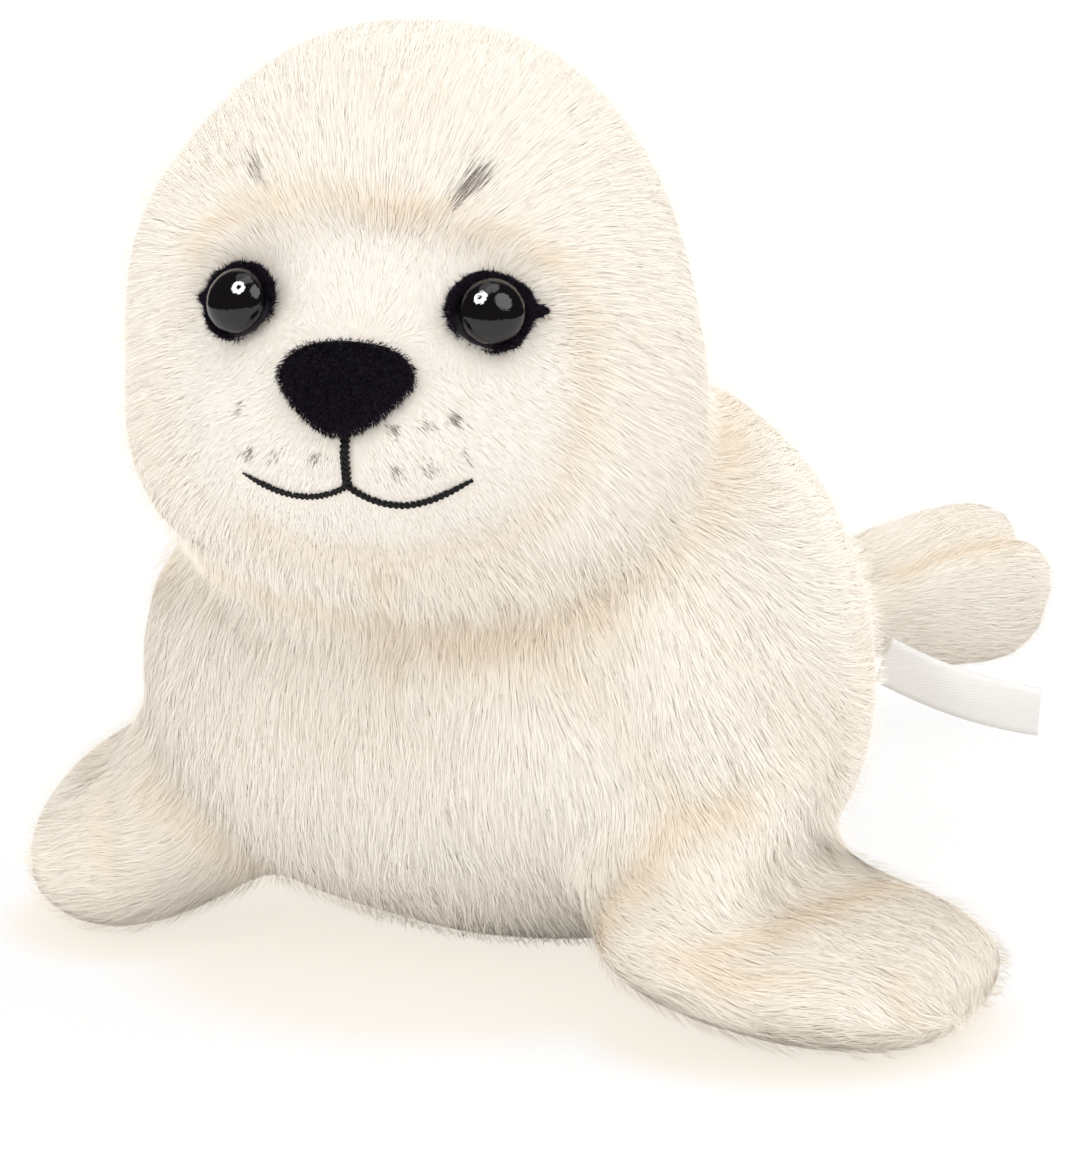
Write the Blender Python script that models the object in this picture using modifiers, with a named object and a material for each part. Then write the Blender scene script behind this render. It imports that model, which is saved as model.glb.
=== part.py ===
"""A plush seal pup, stuffed and sewn, resting on its belly and its front flippers.

Metres, +Z up. The seal looks along -Y with its head turned a little to its own left, which is +X.
The origin is on the floor, under the middle of the belly's flat resting face.
"""

from math import cos, exp, pi, radians, sin, sqrt

import bmesh
import bpy
from mathutils import Matrix, Vector

# Gap between two pieces that touch
GAP = 0.0003

# Head: a stuffed hood, measured from its centre
HEAD_FORWARD = 0.0420
HEAD_HEIGHT = 0.1180
HEAD_TURN = radians(14)
HEAD_TILT = radians(2.3)
HEAD_HALF_WIDTH = 0.0548
HEAD_FRONT = 0.0455
HEAD_BACK = 0.0560
HEAD_CROWN = 0.0740
HEAD_JOWL = 0.0460
HEAD_FULLNESS = 2.20
CHEEK_SWELL = 0.0034
LEFT_CROWN_SWELL = 0.0009
RIGHT_CROWN_SWELL = 0.0052
BROW_SWELL = 0.0014

# Face panel: shorter pile, sewn into the front of the hood
FACE_HALF_WIDTH = 0.0375
FACE_TOP = 0.0365
FACE_DROP = 0.0270
FACE_THICKNESS = 0.0045
FACE_SUNK = 0.0018
FACE_SEAM_GAP = 0.0008
FACE_EDGE_ROUND = 0.0018
MUZZLE_SWELL = 0.0135
MUZZLE_DROP = 0.0010
MUZZLE_HALF_WIDTH = 0.0330
MUZZLE_HALF_HEIGHT = 0.0195

# Throat dart: a short gather under the chin
DART_START_DROP = 0.0320
DART_END_DROP = 0.0400
DART_RADIUS = 0.0016

# Eyes: domed plastic buttons on a patch of black pile, each held by a washer behind the panel
EYE_SPREAD = 0.0229
EYE_HEIGHT = 0.0220
EYE_RADIUS = 0.0064
EYE_DOME = 0.0048
EYE_SHANK_RADIUS = 0.0018
EYE_SHANK_LENGTH = 0.0125
EYE_PATCH_RADIUS = 0.0079
EYE_PATCH_CORNER = 0.0122
EYE_PATCH_THICKNESS = 0.0013
WASHER_RADIUS = 0.0065
WASHER_THICKNESS = 0.0016

# Nose: a padded patch of black felt
NOSE_ASIDE = 0.0010
NOSE_HEIGHT = 0.0100
NOSE_HALF_WIDTH = 0.0124
NOSE_TOP = 0.0068
NOSE_BOTTOM = 0.0086
NOSE_EDGE = 0.0012
NOSE_CROWN = 0.0026

# Mouth: black embroidery thread
MOUTH_DROP = 0.0085
MOUTH_SAG = 0.0042
MOUTH_HALF_WIDTH = 0.0218
MOUTH_LIFT = 0.0012
LIP_THREAD_RADIUS = 0.0006
SEAM_THREAD_RADIUS = 0.0009

# Torso
TORSO_FORWARD = 0.0660
TORSO_LENGTH = 0.2300
TORSO_HALF_WIDTH = 0.0760
TORSO_HEIGHT = 0.1250
TORSO_FULLNESS = 2.4
BELLY_FULLNESS = 2.6
TAIL_HEIGHT = 0.0360
TAIL_SWING = 0.0080
TAIL_SWING_FROM = 0.50

# Front flippers: where each arm stands, and how far its paddle reaches out from there
LEFT_ARM_OUT = 0.0575
LEFT_ARM_FORWARD = 0.0370
LEFT_REACH = 0.0560
RIGHT_ARM_OUT = 0.0400
RIGHT_ARM_FORWARD = 0.0205
RIGHT_REACH = 0.0605
ARM_HEIGHT = 0.0760
FLIPPER_NOSE = 0.0030
FLIPPER_HALF_WIDTH = 0.0410
FLIPPER_THICKNESS = 0.0250
FLIPPER_SQUARENESS = 2.7
LEFT_SWEEP = radians(-4)
RIGHT_SWEEP = radians(-1)

# Chest seams: where the front panel meets the sides. Shares of the torso's half width and height
CHEST_SEAM = ((0.43, 0.63), (0.50, 0.605), (0.57, 0.56), (0.63, 0.50), (0.70, 0.44), (0.75, 0.375))
CHEST_SEAM_RADIUS = 0.0020

# Hind flippers: each root is placed from the tail's end
HIND_LENGTH = 0.0720
HIND_HALF_WIDTH = 0.0212
HIND_HALF_THICKNESS = 0.0115
LEFT_HIND_ASIDE = 0.0020
LEFT_HIND_FORWARD = 0.0100
LEFT_HIND_HEIGHT = 0.0360
LEFT_HIND_HEADING = radians(35)
LEFT_HIND_PITCH = radians(-3)
LEFT_HIND_LEAN = radians(72)
RIGHT_HIND_ASIDE = 0.0070
RIGHT_HIND_FORWARD = 0.0040
RIGHT_HIND_HEIGHT = 0.0400
RIGHT_HIND_HEADING = radians(32)
RIGHT_HIND_PITCH = radians(0)
RIGHT_HIND_LEAN = radians(76)

# Care label: a blank woven ribbon caught in the left side seam
LABEL_LENGTH = 0.0330
LABEL_WIDTH = 0.0108
LABEL_THICKNESS = 0.0005
LABEL_TUCKED = 0.0140
LABEL_SHARE = 0.62
LABEL_HEIGHT = 0.0460

# Mesh fineness
HEAD_SEGMENTS = 40
HEAD_RINGS = 24
TORSO_RING = 16
FLIPPER_RING = 8


def clear_scene():
    for item in list(bpy.data.objects):
        bpy.data.objects.remove(item)


def new_collection(name):
    made = bpy.data.collections.new(name)
    bpy.context.scene.collection.children.link(made)
    return made


clear_scene()
PARTS = new_collection("plush_seal")
CUTTERS = new_collection("cutters")


def material(name, colour, roughness, metallic=0.0):
    made = bpy.data.materials.new(name)
    made.use_nodes = True
    shader = made.node_tree.nodes["Principled BSDF"]
    shader.inputs["Base Color"].default_value = (*colour, 1.0)
    shader.inputs["Roughness"].default_value = roughness
    shader.inputs["Metallic"].default_value = metallic
    return made


LONG_PILE = material("long_cream_pile", (0.87, 0.80, 0.70), 0.95)
SHORT_PILE = material("short_cream_pile", (0.88, 0.82, 0.72), 0.90)
BLACK_PILE = material("black_pile", (0.012, 0.010, 0.012), 0.95)
BLACK_FELT = material("black_felt", (0.012, 0.010, 0.014), 0.95)
EYE_PLASTIC = material("eye_plastic", (0.008, 0.007, 0.008), 0.05)
WASHER_PLASTIC = material("washer_plastic", (0.80, 0.80, 0.78), 0.45)
THREAD = material("black_thread", (0.015, 0.012, 0.014), 0.70)
RIBBON = material("label_ribbon", (0.90, 0.90, 0.90), 0.45)


def add(name, mesh, finish, parent=None):
    """A sub-part in the seal's collection."""
    made = bpy.data.objects.new(name, mesh)
    PARTS.objects.link(made)
    made.parent = parent
    if finish and not mesh.materials:
        mesh.materials.append(finish)
    return made


def add_cutter(name, mesh, parent=None):
    """A helper shape that cuts others and is no part of the seal."""
    made = bpy.data.objects.new(name, mesh)
    CUTTERS.objects.link(made)
    made.parent = parent
    made.hide_render = True
    made.display_type = "WIRE"
    return made


def cut(target, cutter):
    modifier = target.modifiers.new("cut_" + cutter.name, "BOOLEAN")
    modifier.operation = "DIFFERENCE"
    modifier.object = cutter
    modifier.solver = "EXACT"


def smooth(target, levels=1):
    modifier = target.modifiers.new("smooth", "SUBSURF")
    modifier.levels = levels
    modifier.render_levels = levels


def grow(target, distance):
    """Moves a cutter's surface out, so that what it cuts keeps its distance."""
    modifier = target.modifiers.new("grow", "DISPLACE")
    modifier.mid_level = 0.0
    modifier.strength = distance


def mesh_from(name, shape):
    """Takes a bmesh to a smooth-shaded mesh with its faces pointing out."""
    bmesh.ops.recalc_face_normals(shape, faces=shape.faces)
    mesh = bpy.data.meshes.new(name)
    shape.to_mesh(mesh)
    shape.free()
    mesh.shade_smooth()
    return mesh


def loft(name, rings, first_tip, last_tip):
    """A closed form through rings of points, ending in a point at each end."""
    shape = bmesh.new()
    made = [[shape.verts.new(point) for point in ring] for ring in rings]
    count = len(rings[0])
    for near, far in zip(made, made[1:]):
        for i in range(count):
            j = (i + 1) % count
            shape.faces.new((near[i], near[j], far[j], far[i]))
    for ring, tip in ((made[0], first_tip), (made[-1], last_tip)):
        end = shape.verts.new(tip)
        for i in range(count):
            shape.faces.new((ring[i], ring[(i + 1) % count], end))
    return mesh_from(name, shape)


def tube(name, points, radius, sides=6):
    """A closed rod of this radius through the points, pointed at both ends."""
    rings = []
    for k, point in enumerate(points):
        before = points[max(k - 1, 0)]
        after = points[min(k + 1, len(points) - 1)]
        along = (after - before).normalized()
        across = along.cross(Vector((0, 1, 0))).normalized()
        over = across.cross(along)
        ring = []
        for i in range(sides):
            angle = 2 * pi * i / sides
            ring.append(point + across * radius * cos(angle) + over * radius * sin(angle))
        rings.append(ring)
    first = points[0] + (points[0] - points[1]).normalized() * radius * 2
    last = points[-1] + (points[-1] - points[-2]).normalized() * radius * 2
    return loft(name, rings, first, last)


def bell(distance, width):
    """A smooth bump: 1 at no distance, near 0 at twice the width."""
    return exp(-((distance / width) ** 2))


# The head's own frame: its origin is the head's centre, and the face looks along -Y

head_pose = bpy.data.objects.new("head_pose", None)
PARTS.objects.link(head_pose)
head_pose.location = (0.0, -HEAD_FORWARD, HEAD_HEIGHT)
head_pose.rotation_euler = (0.0, HEAD_TILT, HEAD_TURN)


def hood_share(x, z):
    """How much of the hood's width and height this place uses up, from 0 at its middle to 1 at its edge."""
    height = HEAD_CROWN if z > 0 else HEAD_JOWL
    return abs(x / HEAD_HALF_WIDTH) ** HEAD_FULLNESS + abs(z / height) ** HEAD_FULLNESS


def hood_depth(x, z):
    """How far the plain hood reaches forward of its centre at this place on the face."""
    return HEAD_FRONT * max(1.0 - hood_share(x, z), 0.03) ** (1.0 / HEAD_FULLNESS)


def face_y(x, z):
    """The face panel's front surface: sunk under the brow, and swelling to a muzzle and chin."""
    muzzle = MUZZLE_SWELL * bell(x, MUZZLE_HALF_WIDTH) * bell(z + MUZZLE_DROP, MUZZLE_HALF_HEIGHT)
    return -(hood_depth(x, z) - FACE_SUNK + muzzle)


def face_normal(x, z):
    step = 0.0005
    slope_x = (face_y(x + step, z) - face_y(x - step, z)) / (2 * step)
    slope_z = (face_y(x, z + step) - face_y(x, z - step)) / (2 * step)
    return Vector((slope_x, -1.0, slope_z)).normalized()


class FacePlace:
    """A place on the face with two directions along the face and one out of it."""

    def __init__(self, x, z, outward=None):
        self.origin = Vector((x, face_y(x, z), z))
        self.out = outward or face_normal(x, z)
        self.across = Vector((0, 0, 1)).cross(self.out).normalized()
        self.up = self.out.cross(self.across)

    def point(self, a, b, height):
        """The point this far across and up, and this high above the face's surface."""
        flat = self.origin + self.across * a + self.up * b
        drop = 0.0
        for _ in range(12):
            probe = flat + self.out * drop
            drop += (face_y(probe.x, probe.z) - probe.y) / self.out.y * 0.8
        foot = flat + self.out * drop
        return foot + face_normal(foot.x, foot.z) * height


FACE_MIDDLE = FacePlace(0.0, (FACE_TOP - FACE_DROP) / 2, Vector((0, -1, 0)))


def face_patch(name, place, outline, rings, segments, under, over):
    """A closed sheet laid on the face. outline(angle) is its edge, under its back and over(share) its front."""
    edges = [outline(2 * pi * i / segments) for i in range(segments)]
    shares = [(k + 1) / rings for k in range(rings)]

    def ring(share, height):
        return [place.point(a * share, b * share, height) for a, b in edges]

    front = [ring(share, over(share)) for share in shares]
    back = [ring(share, under) for share in reversed(shares)]
    return loft(name, front + back, place.point(0, 0, over(0.0)), place.point(0, 0, under))


def superellipse(angle, half_width, top, bottom, power):
    """A point on a rounded outline, fuller than an ellipse where power is above 2."""
    c, s = cos(angle), sin(angle)
    size = (abs(c) ** power + abs(s) ** power) ** (-1.0 / power)
    return half_width * c * size, (top if s > 0 else bottom) * s * size


# Head

def hood_point(direction):
    """Where a direction from the head's centre meets the hood, with cheeks and a soft brow.

    The stuffing fills the seal's right side of the crown a little more than its left.
    """
    x, y, z = direction
    depth = HEAD_FRONT if y < 0 else HEAD_BACK
    share = hood_share(x, z) + abs(y / depth) ** HEAD_FULLNESS
    cheeks = CHEEK_SWELL * bell(z + 0.22, 0.45) * abs(x)
    brow = BROW_SWELL * bell(z - 0.62, 0.22) * max(0.0, -y)
    crown = (RIGHT_CROWN_SWELL if x < 0 else LEFT_CROWN_SWELL) * bell(z - 0.50, 0.32) * abs(x)
    return direction * (share ** (-1.0 / HEAD_FULLNESS) + cheeks + brow + crown)


def head_mesh():
    shape = bmesh.new()
    bmesh.ops.create_uvsphere(shape, u_segments=HEAD_SEGMENTS, v_segments=HEAD_RINGS, radius=1.0)
    for vertex in shape.verts:
        vertex.co = hood_point(vertex.co.normalized())
    return mesh_from("head", shape)


def face_outline(margin=0.0):
    half_height = (FACE_TOP + FACE_DROP) / 2

    def outline(angle):
        return superellipse(angle, FACE_HALF_WIDTH + margin, half_height + margin, half_height + margin, 2.4)

    return outline


head = add("head", head_mesh(), LONG_PILE, head_pose)

dart_points = []
for k in range(4):
    z = -DART_START_DROP - (DART_END_DROP - DART_START_DROP) * k / 3
    dart_points.append(Vector((0.0, -hood_depth(0.0, z), z)))
throat_dart = add_cutter("throat_dart", tube("throat_dart", dart_points, DART_RADIUS), head_pose)
cut(head, throat_dart)

face_socket = add_cutter(
    "face_socket",
    face_patch(
        "face_socket", FACE_MIDDLE, face_outline(FACE_SEAM_GAP), 5, 34,
        -(FACE_THICKNESS + GAP), lambda share: 0.020,
    ),
    head_pose,
)
cut(head, face_socket)

face_panel = add(
    "face_panel",
    face_patch(
        "face_panel", FACE_MIDDLE, face_outline(), 5, 34,
        -FACE_THICKNESS, lambda share: -FACE_EDGE_ROUND * share ** 10,
    ),
    SHORT_PILE,
    head_pose,
)


# Eyes

def turned(name, profile, place, closed_ring=False):
    """A turned piece on a place of the face. profile is (radius, height) pairs, outer side downwards."""
    mesh = bpy.data.meshes.new(name)
    count = len(profile)
    edges = [(i, i + 1) for i in range(count - 1)]
    if closed_ring:
        edges.append((count - 1, 0))
    mesh.from_pydata([(radius, 0.0, height) for radius, height in profile], edges, [])
    return mesh, frame_at(place)


def frame_at(place):
    """The matrix that stands a piece's +Z along the way out of the face."""
    across = place.across
    along = place.out.cross(across)
    matrix = Matrix((across, along, place.out)).transposed().to_4x4()
    matrix.translation = place.origin
    return matrix


def revolve(target, steps=20, flip=False):
    modifier = target.modifiers.new("revolve", "SCREW")
    modifier.steps = steps
    modifier.render_steps = steps
    modifier.use_merge_vertices = True
    modifier.merge_threshold = 0.00001
    modifier.use_normal_calculate = True
    modifier.use_normal_flip = flip


def arc(radius, start, end, centre, count):
    return [
        (centre[0] + radius[0] * cos(start + (end - start) * k / count),
         centre[1] + radius[1] * sin(start + (end - start) * k / count))
        for k in range(count + 1)
    ]


def cylinder_cutter(name, place, radius, low, high, sides=24):
    shape = bmesh.new()
    bmesh.ops.create_cone(
        shape, cap_ends=True, segments=sides, radius1=radius, radius2=radius, depth=high - low,
    )
    mesh = mesh_from(name, shape)
    cutter = add_cutter(name, mesh, head_pose)
    cutter.matrix_local = frame_at(place) @ Matrix.Translation((0, 0, (low + high) / 2))
    return cutter


def eye_patch_outline(side):
    """A round patch with a pointed outer corner."""

    def outline(angle):
        c = cos(angle) * side
        point = max(0.0, c) ** 14
        radius = EYE_PATCH_RADIUS + (EYE_PATCH_CORNER - EYE_PATCH_RADIUS) * point
        return radius * cos(angle), radius * sin(angle)

    return outline


def build_eye(side, label):
    place = FacePlace(side * EYE_SPREAD, EYE_HEIGHT)
    patch_top = GAP + EYE_PATCH_THICKNESS
    base = patch_top + GAP
    shank_end = base - EYE_SHANK_LENGTH
    washer_top = -(FACE_THICKNESS + 2 * GAP)
    washer_bottom = washer_top - WASHER_THICKNESS
    hole = EYE_SHANK_RADIUS + GAP

    patch = add(
        "eye_patch_" + label,
        face_patch(
            "eye_patch_" + label, place, eye_patch_outline(side), 2, 26,
            GAP, lambda share: patch_top,
        ),
        BLACK_PILE,
        head_pose,
    )

    dome = arc((EYE_RADIUS, EYE_DOME), pi / 2, 0.0, (0.0, base + 0.0006), 8)
    dome[0] = (0.0, dome[0][1])
    profile = dome + [
        (EYE_RADIUS - 0.0005, base),
        (EYE_SHANK_RADIUS, base),
        (EYE_SHANK_RADIUS, shank_end),
        (0.0, shank_end),
    ]
    mesh, matrix = turned("eye_" + label, profile, place)
    eye = add("eye_" + label, mesh, EYE_PLASTIC, head_pose)
    eye.matrix_local = matrix
    revolve(eye)

    ring = [
        (hole, washer_top), (hole, washer_bottom),
        (WASHER_RADIUS, washer_bottom), (WASHER_RADIUS, washer_top),
    ]
    mesh, matrix = turned("eye_washer_" + label, ring, place, closed_ring=True)
    washer = add("eye_washer_" + label, mesh, WASHER_PLASTIC, head_pose)
    washer.matrix_local = matrix
    revolve(washer, flip=True)

    shank_hole = cylinder_cutter(
        "shank_hole_" + label, place, hole, shank_end - GAP, patch_top + 0.004, 12,
    )
    washer_pocket = cylinder_cutter(
        "washer_pocket_" + label, place, WASHER_RADIUS + GAP, washer_bottom - GAP, 0.004, 20,
    )
    for target in (patch, face_panel, head):
        cut(target, shank_hole)
    cut(head, washer_pocket)


# Nose

def nose_outline(angle):
    """Broad above and drawn to a blunt point below."""
    a, b = superellipse(angle, NOSE_HALF_WIDTH, NOSE_TOP, NOSE_BOTTOM, 2.3)
    narrowing = max(0.0, -b / NOSE_BOTTOM)
    return a * (1.0 - 0.50 * narrowing), b


def build_nose():
    place = FacePlace(-NOSE_ASIDE, NOSE_HEIGHT, Vector((0, -1, 0)))
    add(
        "nose",
        face_patch(
            "nose", place, nose_outline, 4, 26, GAP,
            lambda share: GAP + NOSE_EDGE + NOSE_CROWN * (1 - share ** 2) ** 0.7,
        ),
        BLACK_FELT,
        head_pose,
    )


# Mouth

def thread(name, points, radius):
    """A run of embroidery thread lying on the face."""
    curve = bpy.data.curves.new(name, "CURVE")
    curve.dimensions = "3D"
    curve.bevel_depth = radius
    curve.bevel_resolution = 1
    curve.use_fill_caps = True
    spline = curve.splines.new("POLY")
    spline.points.add(len(points) - 1)
    for knot, point in zip(spline.points, points):
        knot.co = (*point, 1.0)
    curve.materials.append(THREAD)
    made = bpy.data.objects.new(name, curve)
    PARTS.objects.link(made)
    made.parent = head_pose


def build_mouth():
    nose_foot = NOSE_HEIGHT - NOSE_BOTTOM - 2 * GAP - SEAM_THREAD_RADIUS
    steps = 5
    heights = [nose_foot + (-MOUTH_DROP - nose_foot) * k / steps for k in range(steps + 1)]
    seam_middle = FacePlace(0.0, -MOUTH_DROP, Vector((0, -1, 0)))
    thread(
        "mouth_seam",
        [seam_middle.point(0, z + MOUTH_DROP, SEAM_THREAD_RADIUS + GAP) for z in heights],
        SEAM_THREAD_RADIUS,
    )
    start = SEAM_THREAD_RADIUS + LIP_THREAD_RADIUS + GAP
    steps = 14
    for side, label in ((1, "left"), (-1, "right")):
        points = []
        for k in range(steps + 1):
            share = k / steps
            across = start + (MOUTH_HALF_WIDTH - start) * share
            dip = -MOUTH_SAG * sin(pi * share ** 0.85) + MOUTH_LIFT * share
            points.append(seam_middle.point(side * across, dip, LIP_THREAD_RADIUS + GAP))
        thread("mouth_lip_" + label, points, LIP_THREAD_RADIUS)


# Torso

# Stations from chest to tail: share of the length, half-width share, underside share, top share
TORSO_STATIONS = (
    (0.012, 0.46, 0.330, 0.640),
    (0.040, 0.71, 0.210, 0.770),
    (0.085, 0.87, 0.120, 0.870),
    (0.150, 0.98, 0.045, 0.950),
    (0.230, 1.03, -0.012, 0.990),
    (0.310, 1.03, -0.024, 1.000),
    (0.390, 0.97, -0.024, 0.985),
    (0.470, 0.87, -0.024, 0.930),
    (0.550, 0.76, -0.018, 0.840),
    (0.635, 0.64, 0.004, 0.735),
    (0.720, 0.52, 0.035, 0.635),
    (0.805, 0.41, 0.075, 0.545),
    (0.890, 0.31, 0.125, 0.465),
    (0.960, 0.21, 0.180, 0.400),
)


def spine(share):
    """The middle of the back seen from above, bending to the seal's left towards the tail."""
    bend = max(0.0, share - TAIL_SWING_FROM) / (1.0 - TAIL_SWING_FROM)
    return Vector((TAIL_SWING * bend ** 1.6, -TORSO_FORWARD + TORSO_LENGTH * share, 0.0))


def torso_ring(share, width, low, high):
    middle = spine(share)
    bottom, top = low * TORSO_HEIGHT, high * TORSO_HEIGHT
    waist = bottom + (top - bottom) * 0.44
    ring = []
    for i in range(TORSO_RING):
        angle = 2 * pi * (i + 0.5) / TORSO_RING
        power = TORSO_FULLNESS if sin(angle) > 0 else BELLY_FULLNESS
        a, b = superellipse(angle, width * TORSO_HALF_WIDTH, top - waist, waist - bottom, power)
        ring.append(middle + Vector((a, 0.0, waist + b)))
    return ring


def torso_mesh():
    rings = [torso_ring(*station) for station in TORSO_STATIONS]
    front = spine(0.0) + Vector((0, 0, 0.48 * TORSO_HEIGHT))
    rear = spine(1.0) + Vector((0, 0, TAIL_HEIGHT))
    return loft("torso", rings, front, rear)


def flatten_underside(target, height=0.0):
    """Cuts a soft form level where it lies on the floor."""
    shape = bmesh.new()
    bmesh.ops.create_cube(shape, size=1.0)
    floor = add_cutter("floor_under_" + target.name, mesh_from("floor_under_" + target.name, shape))
    floor.scale = (1.0, 1.0, 0.1)
    floor.location = (0.0, 0.0, height - 0.05)
    cut(target, floor)


# Flippers

# Each station: out from the arm and back, as shares of the reach, height share, half width share,
# half thickness share, the section's lean in degrees from upright to level, and how many degrees
# its rear edge is raised. The left one is folded sharply at the elbow
LEFT_STATIONS = (
    (-0.20, 0.15, 0.92, 0.40, 0.80, 0, 30),
    (-0.13, 0.11, 0.80, 0.62, 1.30, 0, 28),
    (-0.06, 0.08, 0.61, 0.84, 1.72, 4, 22),
    (-0.02, 0.05, 0.44, 1.02, 1.92, 12, 12),
    (0.03, 0.02, 0.320, 1.10, 1.68, 32, 4),
    (0.14, 0.00, 0.225, 1.10, 1.20, 60, 0),
    (0.40, 0.00, 0.172, 1.04, 1.14, 84, 0),
    (0.68, 0.00, 0.150, 0.95, 1.02, 90, 0),
    (0.87, 0.00, 0.135, 0.80, 0.86, 90, 0),
    (1.00, 0.00, 0.115, 0.52, 0.62, 90, 0),
)
RIGHT_STATIONS = (
    (-0.17, 0.05, 1.00, 0.44, 0.80, 0, 10),
    (-0.03, 0.03, 0.86, 0.64, 1.50, 4, 10),
    (0.10, 0.00, 0.68, 0.80, 2.00, 12, 12),
    (0.20, 0.00, 0.52, 0.94, 2.10, 24, 15),
    (0.33, 0.00, 0.420, 1.04, 2.00, 42, 18),
    (0.48, 0.00, 0.335, 1.06, 1.75, 60, 20),
    (0.64, 0.00, 0.290, 1.00, 1.50, 76, 20),
    (0.79, 0.00, 0.275, 0.88, 1.30, 86, 20),
    (0.91, 0.00, 0.268, 0.72, 1.10, 90, 20),
    (1.00, 0.00, 0.260, 0.46, 0.80, 90, 20),
)


def front_flipper_mesh(name, side, arm, reach, sweep, stations):
    """An arm that comes down the chest's side, and a paddle that lies out from it on the floor."""
    out = Vector((side * cos(sweep), sin(sweep), 0.0))
    back = Vector((-side * sin(sweep), cos(sweep), 0.0))
    up = Vector((0, 0, 1))
    half = FLIPPER_THICKNESS / 2
    rings = []
    for along, behind, height, width, thickness, lean, rise in stations:
        centre = arm + (out * along + back * behind) * reach + up * ARM_HEIGHT * height
        wide = back * cos(radians(rise)) + up * sin(radians(rise))
        over = up * cos(radians(rise)) - back * sin(radians(rise))
        thin = out * cos(radians(lean)) + over * sin(radians(lean))
        ring = []
        for i in range(FLIPPER_RING):
            angle = 2 * pi * i / FLIPPER_RING
            a, b = superellipse(
                angle, width * FLIPPER_HALF_WIDTH, thickness * half, thickness * half, FLIPPER_SQUARENESS,
            )
            ring.append(centre + wide * a + thin * b)
        rings.append(ring)
    first = arm + (out * -0.37 + back * 0.14) * reach + up * ARM_HEIGHT * 1.08
    last = arm + out * (reach + FLIPPER_NOSE) + up * ARM_HEIGHT * stations[-1][2] * 0.93
    return loft(name, rings, first, last)


def hind_flipper_mesh(name, root, heading, pitch, lean):
    """A flat stuffed paddle, narrow at the tail and broad near its rounded end."""
    along = Vector((sin(heading) * cos(pitch), cos(heading) * cos(pitch), sin(pitch)))
    level = Vector((cos(heading), -sin(heading), 0.0))
    upright = level.cross(along)
    wide = level * cos(lean) + upright * sin(lean)
    thin = wide.cross(along)
    # share of the length, half width share, half thickness share
    stations = (
        (0.03, 0.42, 0.70), (0.16, 0.62, 0.92), (0.34, 0.82, 1.00),
        (0.54, 0.96, 1.00), (0.74, 1.02, 0.90), (0.90, 0.92, 0.74), (0.98, 0.58, 0.46),
    )
    rings = []
    for share, width, thickness in stations:
        centre = root + along * HIND_LENGTH * share
        ring = []
        for i in range(FLIPPER_RING):
            angle = 2 * pi * i / FLIPPER_RING
            a, b = superellipse(
                angle, width * HIND_HALF_WIDTH, thickness * HIND_HALF_THICKNESS,
                thickness * HIND_HALF_THICKNESS, 2.2,
            )
            ring.append(centre + wide * a + thin * b)
        rings.append(ring)
    return loft(name, rings, root, root + along * HIND_LENGTH)


# Care label

def label_mesh():
    """A ribbon that leaves the side seam and droops, its broad faces upright."""
    root = spine(LABEL_SHARE) + Vector((TORSO_HALF_WIDTH * 0.60, 0.0, LABEL_HEIGHT))
    heading = radians(4)
    steps = 12
    total = LABEL_TUCKED + LABEL_LENGTH
    shape = bmesh.new()
    rows = []
    for k in range(steps + 1):
        share = k / steps
        slope = radians(36 - 28 * share)
        if k == 0:
            middle = root.copy()
        else:
            step = total / steps
            middle = middle + Vector((cos(heading) * cos(slope), sin(heading), -sin(slope))) * step
        tilt = Vector((sin(slope) * 0.8, 0.10, cos(slope))).normalized()
        rows.append([shape.verts.new(middle + tilt * LABEL_WIDTH * w) for w in (-0.5, 0.5)])
    for near, far in zip(rows, rows[1:]):
        shape.faces.new((near[0], near[1], far[1], far[0]))
    return mesh_from("care_label", shape)


# Assembly

def chest_point(side, across, up):
    """The place on the torso's front at these shares of its half width and height."""
    form = torso.evaluated_get(bpy.context.evaluated_depsgraph_get())
    start = Vector((side * across * TORSO_HALF_WIDTH, -1.0, up * TORSO_HEIGHT))
    return form.ray_cast(start, Vector((0, 1, 0)))[1]


torso_form = torso_mesh()

torso = add("torso", torso_form, LONG_PILE)
smooth(torso)
flatten_underside(torso)
seams = []
for side, label in ((1, "left"), (-1, "right")):
    points = [chest_point(side, across, up) for across, up in CHEST_SEAM]
    seams.append(tube("chest_seam_" + label, points, CHEST_SEAM_RADIUS))
for seam in seams:
    cut(torso, add_cutter(seam.name, seam))
head_room = add_cutter("head_room", head.data, head_pose)
grow(head_room, GAP)
cut(torso, head_room)

torso_room = add_cutter("torso_room", torso_form)
smooth(torso_room)
grow(torso_room, GAP)

SIDES = (
    (1, "left", LEFT_ARM_OUT, LEFT_ARM_FORWARD, LEFT_REACH, LEFT_SWEEP, LEFT_STATIONS),
    (-1, "right", RIGHT_ARM_OUT, RIGHT_ARM_FORWARD, RIGHT_REACH, RIGHT_SWEEP, RIGHT_STATIONS),
)

for side, label, arm_out, arm_forward, reach, sweep, stations in SIDES:
    name = "front_flipper_" + label
    arm = Vector((side * arm_out, -arm_forward, 0.0))
    flipper = add(name, front_flipper_mesh(name, side, arm, reach, sweep, stations), LONG_PILE)
    smooth(flipper)
    cut(flipper, torso_room)
    flatten_underside(flipper)
    build_eye(side, label)

tail_end = spine(1.0)
left_root = tail_end + Vector((LEFT_HIND_ASIDE, -LEFT_HIND_FORWARD, LEFT_HIND_HEIGHT))
left_hind_form = hind_flipper_mesh(
    "hind_flipper_left", left_root, LEFT_HIND_HEADING, LEFT_HIND_PITCH, LEFT_HIND_LEAN,
)
left_hind = add("hind_flipper_left", left_hind_form, LONG_PILE)
smooth(left_hind)
cut(left_hind, torso_room)

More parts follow.
